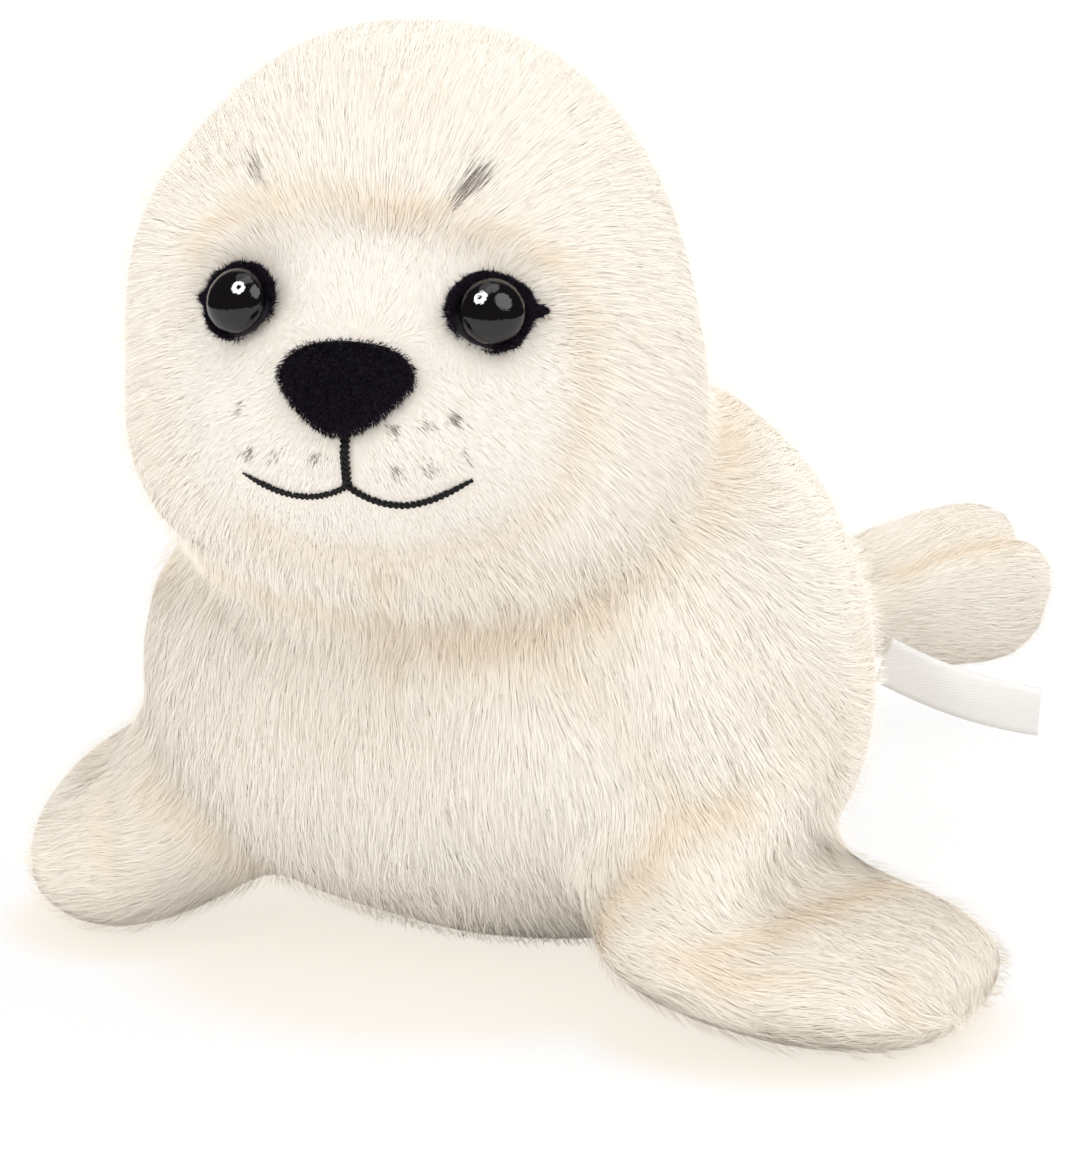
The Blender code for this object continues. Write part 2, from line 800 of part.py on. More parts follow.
right_root = tail_end + Vector((-RIGHT_HIND_ASIDE, -RIGHT_HIND_FORWARD, RIGHT_HIND_HEIGHT))
right_hind_form = hind_flipper_mesh(
    "hind_flipper_right", right_root, RIGHT_HIND_HEADING, RIGHT_HIND_PITCH, RIGHT_HIND_LEAN,
)
right_hind = add("hind_flipper_right", right_hind_form, LONG_PILE)
smooth(right_hind)
cut(right_hind, torso_room)
left_hind_room = add_cutter("left_hind_room", left_hind_form)
smooth(left_hind_room)
grow(left_hind_room, GAP)
cut(right_hind, left_hind_room)

build_nose()
build_mouth()

care_label = add("care_label", label_mesh(), RIBBON)
thicken = care_label.modifiers.new("thicken", "SOLIDIFY")
thicken.thickness = LABEL_THICKNESS
thicken.offset = 0.0
cut(care_label, torso_room)
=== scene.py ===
"""The looks of the plush seal: its stuffed skin, its pile, its face and its label.

Metres, +Z up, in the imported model's frame: the seal looks along -Y and its left side is +X.
The pile is real geometry. Each hair is a slim bent blade that grows from the skin.
"""

from math import cos, pi, radians, sin
from types import SimpleNamespace

import bmesh
import bpy
import numpy as np
from mathutils import Euler, Matrix, Vector
from mathutils.bvhtree import BVHTree


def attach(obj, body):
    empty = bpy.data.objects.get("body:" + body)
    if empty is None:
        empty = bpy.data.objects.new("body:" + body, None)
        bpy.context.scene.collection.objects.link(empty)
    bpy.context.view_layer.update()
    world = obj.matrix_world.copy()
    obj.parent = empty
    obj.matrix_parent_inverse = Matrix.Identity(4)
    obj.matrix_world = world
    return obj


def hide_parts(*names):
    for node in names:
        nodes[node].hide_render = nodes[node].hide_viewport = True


# The head's own frame, as in the source: its face looks along -Y
HEAD_CENTRE = Vector((0.0, -0.0420, 0.1180))
HEAD_TURN = radians(14)
HEAD_TILT = radians(2.3)

# The skin lies this far inside each piece's outer form, which is where the tips of its pile end
SKIN_DEPTH = {
    "head": 0.0016,
    "face_panel": 0.0009,
    "torso": 0.0020,
    "front_flipper_left": 0.0016,
    "front_flipper_right": 0.0016,
    "hind_flipper_left": 0.0014,
    "hind_flipper_right": 0.0014,
}
SKIN_VOXEL = 0.0034
SKIN_SWELL = 0.0004
FLOOR_LIFT = 0.0012

# Pile lengths
PILE_LENGTH = {
    "head": 0.0092,
    "face_panel": 0.0032,
    "torso": 0.0100,
    "front_flipper_left": 0.0086,
    "front_flipper_right": 0.0086,
    "hind_flipper_left": 0.0076,
    "hind_flipper_right": 0.0076,
}

# Creases in the stuffed skin, in millimetres: how wide, how far sunk, and how much painted shade their pile
# gets, a tan tone that stands in for the shade in the crease
CREASES = (
    # Neck
    SimpleNamespace(
        points=(
            (-66, -31, 84), (-50, -60, 87), (-29, -75, 87), (-8, -74, 82), (14, -66, 78),
            (26, -61, 79), (44, -53, 86), (53, -32, 99), (51, -13, 108), (41, 18, 113),
        ),
        width=5.0, sink=2.2, tan=0.30,
    ),
    # Throat
    SimpleNamespace(
        points=((10, -79, 93), (9, -78, 89), (5, -72, 83), (3, -66, 77), (4, -64, 73)),
        width=3.0, sink=1.4, tan=0.30,
    ),
    # Chest seam left
    SimpleNamespace(
        points=((29, -61, 76), (38, -59, 74), (46, -56, 64), (52, -54, 56), (58, -52, 47)),
        width=2.6, sink=0.8, tan=0.22,
    ),
    # Arm front left
    SimpleNamespace(
        points=((68, -46, 47), (57, -56, 43), (52, -62, 35), (47, -65, 29), (45, -67, 22)),
        width=3.4, sink=1.6, tan=0.42,
    ),
    # Elbow left
    SimpleNamespace(
        points=((69, -72, 24), (76, -63, 25), (81, -47, 26), (84, -32, 25.5), (85, -19, 24)),
        width=3.0, sink=1.8, tan=0.40,
    ),
    # Crimp left
    SimpleNamespace(
        points=((64, -76, 22.5), (73, -75, 20), (83, -71, 18.5)),
        width=3.6, sink=0.3, tan=0.30,
    ),
    # Small crease left
    SimpleNamespace(
        points=((101, -59, 20), (104, -63, 16), (107, -65, 12)),
        width=2.2, sink=0.9, tan=0.24,
    ),
    # Side seam left
    SimpleNamespace(
        points=((57, 23, 98), (71, 7, 81), (76, 4, 63), (76, -14, 45)),
        width=2.4, sink=0.5, tan=0.10,
    ),
    # Arm back right
    SimpleNamespace(
        points=((-89, -19, 37), (-78, -36, 37), (-69, -51, 36), (-66, -57, 27), (-64, -58, 20)),
        width=3.4, sink=1.4, tan=0.20,
    ),
    # Arm front right
    SimpleNamespace(
        points=((-60, -52, 39), (-51, -54, 35), (-45, -52, 30), (-41, -47, 23), (-38, -41, 17)),
        width=3.6, sink=1.4, tan=0.24,
    ),
    # Hind fold
    SimpleNamespace(
        points=((24, 163, 46), (32, 174, 49), (39, 184, 50), (44, 196, 51)),
        width=3.2, sink=2.0, tan=0.42,
    ),
)

# The seam round the face and the fold under it, in the head's frame: across and up in millimetres. Their
# pile gets painted shade, where the hood's pile overhangs the seam and in the fold
FACE_CREASES = (
    SimpleNamespace(
        points=((-31, 30), (-27, 35), (-18, 37.5), (-5, 38.5), (10, 36), (22, 34), (31, 31)),
        width=1.8, sink=1.0, tan=0.46,
    ),
    SimpleNamespace(
        points=((31, 31), (36, 22), (38, 3), (34, -10), (24, -19)),
        width=2.2, sink=0.5, tan=0.20,
    ),
    SimpleNamespace(
        points=((24, -19), (7, -24), (-10, -23), (-23, -18)),
        width=2.6, sink=0.8, tan=0.24,
    ),
)

# Marks on the tips of the pile, across and up in the head's frame, in metres.
# Brow marks say from, to, radius and darkness, and whisker spots their place and darkness.
BROW_MARKS = (
    ((-0.0250, 0.0478), (-0.0230, 0.0462), 0.0018, 0.40),
    ((0.0176, 0.0446), (0.0202, 0.0474), 0.0019, 0.90),
)
WHISKER_MARKS = (
    ((0.0084, 0.0019), 0.85),
    ((0.0144, 0.0029), 0.60),
    ((0.0191, 0.0038), 0.98),
    ((0.0092, -0.0054), 0.75),
    ((0.0151, -0.0050), 0.50),
    ((0.0208, -0.0029), 0.45),
    ((-0.0229, 0.0033), 0.40),
    ((-0.0201, -0.0044), 0.85),
    ((-0.0146, -0.0044), 0.60),
    ((-0.0058, -0.0042), 0.75),
)
WHISKER_RADIUS = 0.0011
EYES = ((0.0229, 0.0220), (-0.0229, 0.0220))

# The filling: its pressure, how many frames it pushes for, and how far it may move the fabric
FILLING_PRESSURE = 4.0
FILLING_FRAMES = 20
FILLING_LIMIT = 0.0016

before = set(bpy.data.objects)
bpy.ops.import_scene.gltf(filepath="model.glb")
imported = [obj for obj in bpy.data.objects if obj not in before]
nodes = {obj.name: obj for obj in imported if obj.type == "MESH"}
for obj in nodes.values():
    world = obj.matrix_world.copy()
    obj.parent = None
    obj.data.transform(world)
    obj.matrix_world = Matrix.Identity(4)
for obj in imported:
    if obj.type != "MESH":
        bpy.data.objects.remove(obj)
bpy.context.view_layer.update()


# Pieces and meshes


def new_piece(name, mesh, material=None):
    """A piece of the seal, which has one rigid body."""
    piece = bpy.data.objects.new(name, mesh)
    bpy.context.scene.collection.objects.link(piece)
    if material:
        mesh.materials.append(material)
    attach(piece, "root")
    return piece


def settle(piece):
    """Applies a piece's modifiers, so that its own mesh has the shape that is shown."""
    graph = bpy.context.evaluated_depsgraph_get()
    mesh = bpy.data.meshes.new_from_object(piece.evaluated_get(graph))
    piece.modifiers.clear()
    piece.data = mesh
    mesh.shade_smooth()


def vectors_of(items, attribute):
    values = np.empty(len(items) * 3, np.float32)
    items.foreach_get(attribute, values)
    return values.reshape(-1, 3).astype(float)


def triangles_of(mesh):
    mesh.calc_loop_triangles()
    corners = np.empty(len(mesh.loop_triangles) * 3, np.int32)
    mesh.loop_triangles.foreach_get("vertices", corners)
    return corners.reshape(-1, 3)


def unit(vectors):
    return vectors / np.maximum(np.linalg.norm(vectors, axis=-1, keepdims=True), 1e-12)


def dot(a, b):
    return (a * b).sum(axis=-1, keepdims=True)


def ramp(values, low, high):
    """0 below low and 1 above high, with a soft change between them."""
    share = np.clip((values - low) / (high - low), 0.0, 1.0)
    return share * share * (3.0 - 2.0 * share)


def ripple(points, size, seed):
    """Smooth noise from -1 to 1 over places, with features of about this size."""
    rng = np.random.default_rng(seed)
    total = np.zeros(len(points))
    for _ in range(7):
        way = unit(rng.normal(size=3)) * 2 * pi / size * rng.uniform(0.5, 1.3)
        total += np.sin(points @ way + rng.uniform(0, 2 * pi))
    return total / 3.6


def tree_of(node):
    mesh = nodes[node].data
    return BVHTree.FromPolygons([v.co for v in mesh.vertices], [p.vertices for p in mesh.polygons])


def distance_to(tree, points):
    return np.array([tree.find_nearest(point)[3] for point in points.tolist()])


def beside(places, line):
    """How far each place is from a line of points."""
    nearest = np.full(len(places), np.inf)
    for start, end in zip(line, line[1:]):
        run = end - start
        along = ((places - start) @ run / (run @ run)).clip(0, 1)
        nearest = np.minimum(nearest, np.linalg.norm(places - start - along[:, None] * run, axis=1))
    return nearest


def surface_of(mesh):
    """What pile needs to grow from a mesh: its points, their normals and its triangles."""
    return SimpleNamespace(
        points=vectors_of(mesh.vertices, "co"),
        normals=vectors_of(mesh.vertex_normals, "vector"),
        triangles=triangles_of(mesh),
        tree=BVHTree.FromPolygons([v.co for v in mesh.vertices], [p.vertices for p in mesh.polygons]),
    )


HEAD = Matrix.LocRotScale(HEAD_CENTRE, Euler((0.0, HEAD_TILT, HEAD_TURN)), None)
HEAD_AXES = np.array(HEAD.to_3x3())


def in_head(points):
    return (points - np.array(HEAD_CENTRE)) @ HEAD_AXES


def from_head(directions):
    return directions @ HEAD_AXES.T


# Materials


class Shader:
    """A Principled material and short ways to add nodes to it."""

    def __init__(self, name, colour, roughness, **sockets):
        self.material = bpy.data.materials.new(name)
        self.material.use_nodes = True
        self.tree = self.material.node_tree
        self.principled = self.tree.nodes["Principled BSDF"]
        self.principled.inputs["Base Color"].default_value = (*colour, 1.0)
        self.principled.inputs["Roughness"].default_value = roughness
        for socket, value in sockets.items():
            self.principled.inputs[socket.replace("_", " ")].default_value = value

    def node(self, kind, **settings):
        made = self.tree.nodes.new("ShaderNode" + kind)
        for key, value in settings.items():
            setattr(made, key, value)
        return made

    def link(self, output, target):
        self.tree.links.new(output, target)

    def noise(self, scale, detail=3.0):
        """Noise over the piece's own place in the frame."""
        where = self.node("TexCoord")
        noise = self.node("TexNoise")
        noise.inputs["Scale"].default_value = scale
        noise.inputs["Detail"].default_value = detail
        self.link(where.outputs["Object"], noise.inputs["Vector"])
        return noise.outputs["Fac"]

    def ramp(self, factor, stops):
        made = self.node("ValToRGB")
        elements = made.color_ramp.elements
        while len(elements) < len(stops):
            elements.new(0.5)
        for element, (place, colour) in zip(elements, stops):
            element.position = place
            element.color = (*colour, 1.0)
        self.link(factor, made.inputs["Fac"])
        return made.outputs["Color"]

    def bump(self, height, strength, distance):
        made = self.node("Bump")
        made.inputs["Strength"].default_value = strength
        made.inputs["Distance"].default_value = distance
        self.link(height, made.inputs["Height"])
        self.link(made.outputs["Normal"], self.principled.inputs["Normal"])

    def roughen(self, factor, low, high):
        made = self.node("MapRange")
        made.inputs["To Min"].default_value = low
        made.inputs["To Max"].default_value = high
        self.link(factor, made.inputs["Value"])
        self.link(made.outputs["Result"], self.principled.inputs["Roughness"])


def pile_material(name, root_stops, tip_stops, roughness, reach):
    """Pile whose colour goes from root to tip. The map's U is each hair's tone, and V runs along it."""
    shader = Shader(name, (0.9, 0.85, 0.78), roughness, Specular_IOR_Level=0.0)
    place = shader.node("UVMap", uv_map="OFBake")
    split = shader.node("SeparateXYZ")
    shader.link(place.outputs["UV"], split.inputs["Vector"])
    root = shader.ramp(split.outputs["X"], root_stops)
    tip = shader.ramp(split.outputs["X"], tip_stops)
    along = shader.node("MapRange", interpolation_type="SMOOTHSTEP")
    along.inputs["From Max"].default_value = reach
    shader.link(split.outputs["Y"], along.inputs["Value"])
    blend = shader.node("Mix", data_type="RGBA")
    shader.link(along.outputs["Result"], blend.inputs["Factor"])
    shader.link(root, blend.inputs["A"])
    shader.link(tip, blend.inputs["B"])
    colour = next(o for o in blend.outputs if o.type == "RGBA")
    shader.link(colour, shader.principled.inputs["Base Color"])
    return shader.material


# Tones along U: 0 is clean cream, 0.5 warm tan, 1 near black
LONG_PILE = pile_material(
    "long_pile",
    ((0.0, (0.99, 0.945, 0.87)), (0.5, (0.90, 0.77, 0.62)),
     (0.62, (0.50, 0.44, 0.39)), (0.8, (0.20, 0.17, 0.15)), (1.0, (0.03, 0.025, 0.025))),
    ((0.0, (0.99, 0.95, 0.88)), (0.5, (0.95, 0.84, 0.69)),
     (0.62, (0.60, 0.54, 0.49)), (0.8, (0.26, 0.23, 0.21)), (1.0, (0.04, 0.034, 0.034))),
    0.8,
    0.6,
)
SHORT_PILE = pile_material(
    "short_pile",
    ((0.0, (0.99, 0.95, 0.88)), (0.5, (0.90, 0.77, 0.62)),
     (0.62, (0.50, 0.45, 0.41)), (0.8, (0.20, 0.17, 0.16)), (1.0, (0.03, 0.025, 0.025))),
    ((0.0, (0.985, 0.95, 0.89)), (0.5, (0.95, 0.84, 0.70)),
     (0.62, (0.60, 0.55, 0.51)), (0.8, (0.26, 0.23, 0.22)), (1.0, (0.04, 0.034, 0.034))),
    0.85,
    0.5,
)
BLACK_PILE = pile_material(
    "black_pile",
    ((0.0, (0.005, 0.004, 0.006)), (1.0, (0.012, 0.010, 0.014))),
    ((0.0, (0.008, 0.006, 0.011)), (1.0, (0.032, 0.026, 0.040))),
    0.85,
    1.0,
)


def backing_material():
    """The knitted backing that the pile grows from, seen only where hairs part."""
    shader = Shader("knit_backing", (0.99, 0.95, 0.88), 0.9)
    colour = shader.ramp(shader.noise(90.0), ((0.3, (0.96, 0.89, 0.79)), (0.7, (0.98, 0.93, 0.85))))
    shader.link(colour, shader.principled.inputs["Base Color"])
    shader.bump(shader.noise(1400.0, 1.0), 0.5, 0.0003)
    return shader.material


def felt_material():
    shader = Shader("black_felt", (0.010, 0.008, 0.012), 0.95, Sheen_Weight=0.25, Sheen_Roughness=0.5)
    shader.principled.inputs["Specular IOR Level"].default_value = 0.15
    colour = shader.ramp(shader.noise(500.0), ((0.35, (0.006, 0.005, 0.008)), (0.75, (0.022, 0.018, 0.026))))
    shader.link(colour, shader.principled.inputs["Base Color"])
    shader.bump(shader.noise(1800.0, 2.0), 0.8, 0.0003)
    return shader.material


def eye_material():
    """Polished black plastic, with the slight unevenness of a moulded dome."""
    shader = Shader("eye_plastic", (0.006, 0.005, 0.006), 0.04)
    shader.roughen(shader.noise(260.0), 0.03, 0.07)
    return shader.material


def washer_material():
    shader = Shader("washer_plastic", (0.80, 0.80, 0.78), 0.45)
    shader.roughen(shader.noise(300.0), 0.38, 0.52)
    return shader.material


def thread_material():
    """Twisted black embroidery thread."""
    shader = Shader("black_thread", (0.012, 0.009, 0.011), 0.7, Specular_IOR_Level=0.2)
    where = shader.node("TexCoord")
    plies = shader.node("TexWave", bands_direction="DIAGONAL")
    plies.inputs["Scale"].default_value = 700.0
    shader.link(where.outputs["Object"], plies.inputs["Vector"])
    colour = shader.ramp(plies.outputs["Fac"], ((0.2, (0.005, 0.004, 0.005)), (0.9, (0.020, 0.016, 0.018))))
    shader.link(colour, shader.principled.inputs["Base Color"])
    shader.bump(plies.outputs["Fac"], 0.8, 0.0002)
    return shader.material


def ribbon_material():
    """White woven ribbon with fine ribs across it."""
    shader = Shader("label_ribbon", (0.90, 0.89, 0.87), 0.45, Sheen_Weight=0.3)
    where = shader.node("TexCoord")
    ribs = shader.node("TexWave", bands_direction="Z")
    ribs.inputs["Scale"].default_value = 900.0
    shader.link(where.outputs["Object"], ribs.inputs["Vector"])
    colour = shader.ramp(ribs.outputs["Fac"], ((0.0, (0.86, 0.85, 0.84)), (1.0, (0.93, 0.93, 0.92))))
    shader.link(colour, shader.principled.inputs["Base Color"])
    shader.bump(ribs.outputs["Fac"], 0.4, 0.0001)
    return shader.material


BACKING = backing_material()
FELT = felt_material()
RIBBON = ribbon_material()


def repaint(node, material):
    slots = nodes[node].material_slots
    for slot in slots:
        slot.material = material


# Skin


def fused_mesh(title, names, swell):
    """These nodes' solids in one mesh, swollen until neighbours overlap."""
    shape = bmesh.new()
    for name in names:
        shape.from_mesh(nodes[name].data)
    bmesh.ops.remove_doubles(shape, verts=shape.verts, dist=1e-6)
    shape.normal_update()
    for vertex in shape.verts:
        vertex.co += vertex.normal * swell
    mesh = bpy.data.meshes.new(title)
    shape.to_mesh(mesh)
    shape.free()
    return mesh


def relaxed(values, edges, rounds):
    """A field over the vertices, evened out along the edges."""
    count = len(values)
    ends, starts = edges[:, 0], edges[:, 1]
    links = np.bincount(edges.ravel(), minlength=count)[:, None]
    for _ in range(rounds):
        around = np.empty_like(values)
        for k in range(values.shape[1]):
            around[:, k] = np.bincount(ends, values[starts, k], count)
            around[:, k] += np.bincount(starts, values[ends, k], count)
        values = 0.5 * values + 0.5 * around / links
    return values


def edges_of(mesh):
    ends = np.empty(len(mesh.edges) * 2, np.int32)
    mesh.edges.foreach_get("vertices", ends)
    return ends.reshape(-1, 2)


SOFT = tuple(SKIN_DEPTH)

skin_piece = new_piece("plush_skin", fused_mesh("plush_skin", SOFT, SKIN_SWELL))
remesh = skin_piece.modifiers.new("remesh", "REMESH")
remesh.mode = "VOXEL"
remesh.voxel_size = SKIN_VOXEL
relax = skin_piece.modifiers.new("relax", "SMOOTH")
relax.factor = 0.5
relax.iterations = 2
settle(skin_piece)

skin_mesh = skin_piece.data
outer = vectors_of(skin_mesh.vertices, "co")
skin_edges = edges_of(skin_mesh)
trees = {name: tree_of(name) for name in SOFT}
reach = np.stack([distance_to(trees[name], outer) for name in SOFT], axis=1)
part_of = reach.argmin(axis=1)
share = relaxed(np.eye(len(SOFT))[part_of], skin_edges, 3)


def spread(table):
    """A value for each vertex from a value for each soft node."""
    return share @ np.array([table[name] for name in SOFT])


outward = vectors_of(skin_mesh.vertex_normals, "vector")
depth = spread(SKIN_DEPTH)
outer_in_head = in_head(outer)
# Each crease sinks the skin and gives its pile painted shade, a tan tone standing in for the shade in the
# crease
crease_shade = np.zeros(len(outer))
for crease in (*CREASES, *FACE_CREASES):
    line = np.array(crease.points, float) / 1000
    if line.shape[1] == 2:
        near = np.exp(-((beside(outer_in_head[:, [0, 2]], line) * 1000 / crease.width) ** 2))
        near *= outer_in_head[:, 1] < 0
    else:
        near = np.exp(-((beside(outer, line) * 1000 / crease.width) ** 2))
    depth += near * crease.sink / 1000
    crease_shade = np.maximum(crease_shade, near * crease.tan)
inner = outer - outward * depth[:, None]
on_floor = ramp(outer[:, 2], 0.0025, 0.0005)
inner[:, 2] = inner[:, 2] * (1 - on_floor) + FLOOR_LIFT * on_floor
inner[:, 2] = np.maximum(inner[:, 2], FLOOR_LIFT)
inner = relaxed(inner, skin_edges, 1)
skin_mesh.vertices.foreach_set("co", inner.astype(np.float32).ravel())
skin_mesh.update()


def stuffed(piece, held):
    """How far the filling pushes each vertex of the fabric out, where it isn't held."""
    trial = piece.copy()
    trial.data = piece.data.copy()
    scene = bpy.context.scene
    scene.collection.objects.link(trial)
    group = trial.vertex_groups.new(name="held")
    for k, weight in enumerate(held.tolist()):
        group.add((k,), weight, "REPLACE")
    cloth = trial.modifiers.new("cloth", "CLOTH")
    fabric = cloth.settings
    fabric.quality = 5
    fabric.mass = 0.2
    fabric.tension_stiffness = 20.0
    fabric.compression_stiffness = 20.0
    fabric.shear_stiffness = 10.0
    fabric.bending_stiffness = 2.0
    fabric.use_pressure = True
    fabric.uniform_pressure_force = FILLING_PRESSURE
    fabric.vertex_group_mass = "held"
    fabric.effector_weights.gravity = 0.0
    cloth.point_cache.frame_start = 1
    cloth.point_cache.frame_end = FILLING_FRAMES
    for moment in range(1, FILLING_FRAMES + 1):
        scene.frame_set(moment)
    shown = trial.evaluated_get(bpy.context.evaluated_depsgraph_get())
    moved = vectors_of(shown.data.vertices, "co") - vectors_of(piece.data.vertices, "co")
    spare = trial.data
    bpy.data.objects.remove(trial)
    bpy.data.meshes.remove(spare)
    scene.frame_set(1)
    size = np.linalg.norm(moved, axis=1, keepdims=True)
    return moved * np.minimum(1.0, FILLING_LIMIT / np.maximum(size, 1e-9))


# The fabric is held at its seams, folds and face, on the floor and where the label is caught
label_root = vectors_of(nodes["care_label"].data.vertices, "co")
label_root = label_root[label_root[:, 0].argmin()]
held = 1 - ramp(share.max(axis=1), 0.55, 1.0)
held = np.maximum(held, ramp(crease_shade, 0.0, 0.30))
held = np.maximum(held, share[:, SOFT.index("face_panel")])
held = np.maximum(held, ramp(inner[:, 2], 0.0060, 0.0020))
held = np.maximum(held, ramp(np.linalg.norm(inner - label_root, axis=1), 0.030, 0.015))
push = relaxed(stuffed(skin_piece, held.clip(0, 1)), skin_edges, 2)
push *= (1 - share[:, [SOFT.index("face_panel")]])
inner += push
inner[:, 2] = np.maximum(inner[:, 2], FLOOR_LIFT)
skin_mesh.vertices.foreach_set("co", inner.astype(np.float32).ravel())
skin_mesh.update()
skin_mesh.materials.clear()
skin_mesh.materials.append(BACKING)

# What the pile needs to know at each vertex of the skin

skin = surface_of(skin_mesh)
skin.tan = crease_shade
local = in_head(inner)


def column(name):
    return SOFT.index(name)


def hood_flow():
    """Away from the face: back over the crown, down and back at the sides, and down below the chin."""
    x, y, z = local.T / 0.05
    way = np.empty_like(local)
    way[:, 0] = 0.55 * x
    way[:, 1] = 0.95 - 0.6 * ramp(-z, 0.35, 0.9)
    way[:, 2] = 0.75 * (z - 0.25) - 0.55 * np.abs(x) - 0.6 * ramp(-z, 0.3, 0.8)
    return from_head(way)


def face_flow():
    """Out from the nose, and round the eyes."""
    x, z = local[:, 0], local[:, 2] - 0.012
    size = np.maximum(np.hypot(x, z), 0.004)
    way = np.stack([x / size, np.zeros(len(x)), z / size - 0.15], axis=1)
    for eye_x, eye_z in EYES:
        gap_x, gap_z = local[:, 0] - eye_x, local[:, 2] - eye_z
        gap = np.maximum(np.hypot(gap_x, gap_z), 0.003)
        push = 2.2 * np.exp(-((gap / 0.0125) ** 4))
        way[:, 0] += push * gap_x / gap
        way[:, 2] += push * gap_z / gap
    return from_head(way)


def torso_flow():
    """Down the chest, turning back along the sides and the back."""
    x, y, z = inner.T
    back = ramp(y, -0.052, 0.008)
    down = np.stack([0.30 * x / 0.07, 0.05 + 0 * x, -1.0 + 0 * x], axis=1)
    along = np.stack([0.10 * x / 0.07, 1.0 + 0 * x, -0.32 * ramp(0.09 - z, 0.0, 0.06)], axis=1)
    return down * (1 - back)[:, None] + along * back[:, None]


def front_flipper_flow(side):
    """Down the arm, then out along the paddle."""
    z = inner[:, 2]
    low = ramp(-z, -0.044, -0.022)[:, None]
    down = np.array([side * 0.25, 0.0, -1.0])
    out = np.array([side * 1.0, -0.18, -0.10])
    return down * (1 - low) + out * low


def hind_flipper_flow():
    return np.tile([sin(radians(34)), cos(radians(34)), 0.0], (len(inner), 1))


flows = {
    "head": hood_flow(),
    "face_panel": face_flow(),
    "torso": torso_flow(),
    "front_flipper_left": front_flipper_flow(1),
    "front_flipper_right": front_flipper_flow(-1),
    "hind_flipper_left": hind_flipper_flow(),
    "hind_flipper_right": hind_flipper_flow(),
}
flow = np.zeros_like(inner)
for k, name in enumerate(SOFT):
    flow += unit(flows[name]) * share[:, k : k + 1]
flow = unit(flow - skin.normals * dot(flow, skin.normals))
skin.flow = unit(relaxed(flow, skin_edges, 3))
skin.length = spread(PILE_LENGTH)
# How near each vertex is to a seam between parts; the pile there gets painted shade
skin.seam = 1.0 - relaxed(np.eye(len(SOFT))[part_of], skin_edges, 2).max(axis=1)


# Pile


def sample(skin, weight, count, rng):
    """Places spread over a skin by this weight for each vertex: three corners, and how near each."""
    a, b, c = (skin.points[skin.triangles[:, k]] for k in range(3))
    area = np.linalg.norm(np.cross(b - a, c - a), axis=1)
    reach = np.cumsum(area * weight[skin.triangles].mean(axis=1))
    marks = (np.arange(count) + rng.random(count)) / count * reach[-1]
    face = np.searchsorted(reach, marks)
    face = np.minimum(face, len(skin.triangles) - 1)
    u, v = rng.random(count), rng.random(count)
    flip = u + v > 1
    u[flip], v[flip] = 1 - u[flip], 1 - v[flip]
    return skin.triangles[face], np.stack([1 - u - v, u, v], axis=1)


def at(values, spots):
    corners, nearness = spots
    if values.ndim == 1:
        return (values[corners] * nearness).sum(axis=1)
    return (values[corners] * nearness[:, :, None]).sum(axis=1)


def tufts(points, size, seed):
    """The tuft that each place belongs to: its middle, and a few random values of its own."""
    cell = np.floor(points / size).astype(np.int64)
    nearest = np.full(len(points), np.inf)
    middle = np.zeros_like(points)
    own = np.zeros((len(points), 3))
    for dx in (-1, 0, 1):
        for dy in (-1, 0, 1):
            for dz in (-1, 0, 1):
                key = cell + (dx, dy, dz)
                chance = scrambled(key, seed)
                centre = (key + chance) * size
                gap = np.linalg.norm(points - centre, axis=1)
                closer = gap < nearest
                nearest[closer] = gap[closer]
                middle[closer] = centre[closer]
                own[closer] = chance[closer][:, ::-1]
    return middle, own, nearest / size


def scrambled(key, seed):
    """Three values from 0 to 1 for each whole-number cell."""
    mixed = (key[:, 0] * 73856093) ^ (key[:, 1] * 19349663) ^ (key[:, 2] * 83492791) ^ (seed * 2654435761)
    values = []
    for k in range(3):
        mixed = (mixed ^ (mixed >> 15)) * 2246822519 & 0xFFFFFFFF
        mixed = (mixed ^ (mixed >> 13)) * 3266489917 & 0xFFFFFFFF
        mixed = mixed ^ (mixed >> 16)
        values.append((mixed & 0xFFFFFF) / float(0x1000000))
    return np.stack(values, axis=1)


BEND = 0.42
UV_WIDTH = 0.002


def hair_mesh(name, root, bend, tip, side, tones):
    """One mesh of blades, each a triangle from its root to its bend and one on to its tip."""
    count = len(root)
    points = np.stack([root, bend + side, bend - side, tip], axis=1)
    points[:, :, 2] = np.maximum(points[:, :, 2], 0.0004)
    first = np.arange(count)[:, None] * 4
    corners = (first + np.array([[0, 1, 2, 2, 1, 3]])).ravel()
    mesh = bpy.data.meshes.new(name)
    mesh.vertices.add(count * 4)
    mesh.vertices.foreach_set("co", points.astype(np.float32).ravel())
    mesh.loops.add(count * 6)
    mesh.loops.foreach_set("vertex_index", corners.astype(np.int32))
    mesh.polygons.add(count * 2)
    mesh.polygons.foreach_set("loop_start", np.arange(count * 2, dtype=np.int32) * 3)
    low, middle, high = tones
    left, right = middle - UV_WIDTH, middle + UV_WIDTH
    u = np.stack([low, left, right, right, left, high], axis=1)
    v = np.tile([0.0, BEND, BEND, BEND, BEND, 1.0], (count, 1))
    layer = mesh.uv_layers.new(name="OFBake")
    layer.uv.foreach_set("vector", np.stack([u, v], axis=2).astype(np.float32).ravel())
    mesh.update()
    mesh.validate()
    mesh.shade_smooth()
    return mesh


def combed(tree, points, heights):
    """The points moved to these heights over the skin, so that the pile follows its curves."""
    found = [tree.find_nearest(point) for point in points.tolist()]
    places = np.array([hit[0][:] for hit in found])
    normals = np.array([hit[1][:] for hit in found])
    gap = points - places
    size = np.linalg.norm(gap, axis=1, keepdims=True)
    way = np.where(dot(gap, normals) < 0, -gap, gap) / np.maximum(size, 1e-9)
    way = np.where(size < 2e-5, normals, way)
    return places + unit(way + 0.3 * normals) * heights


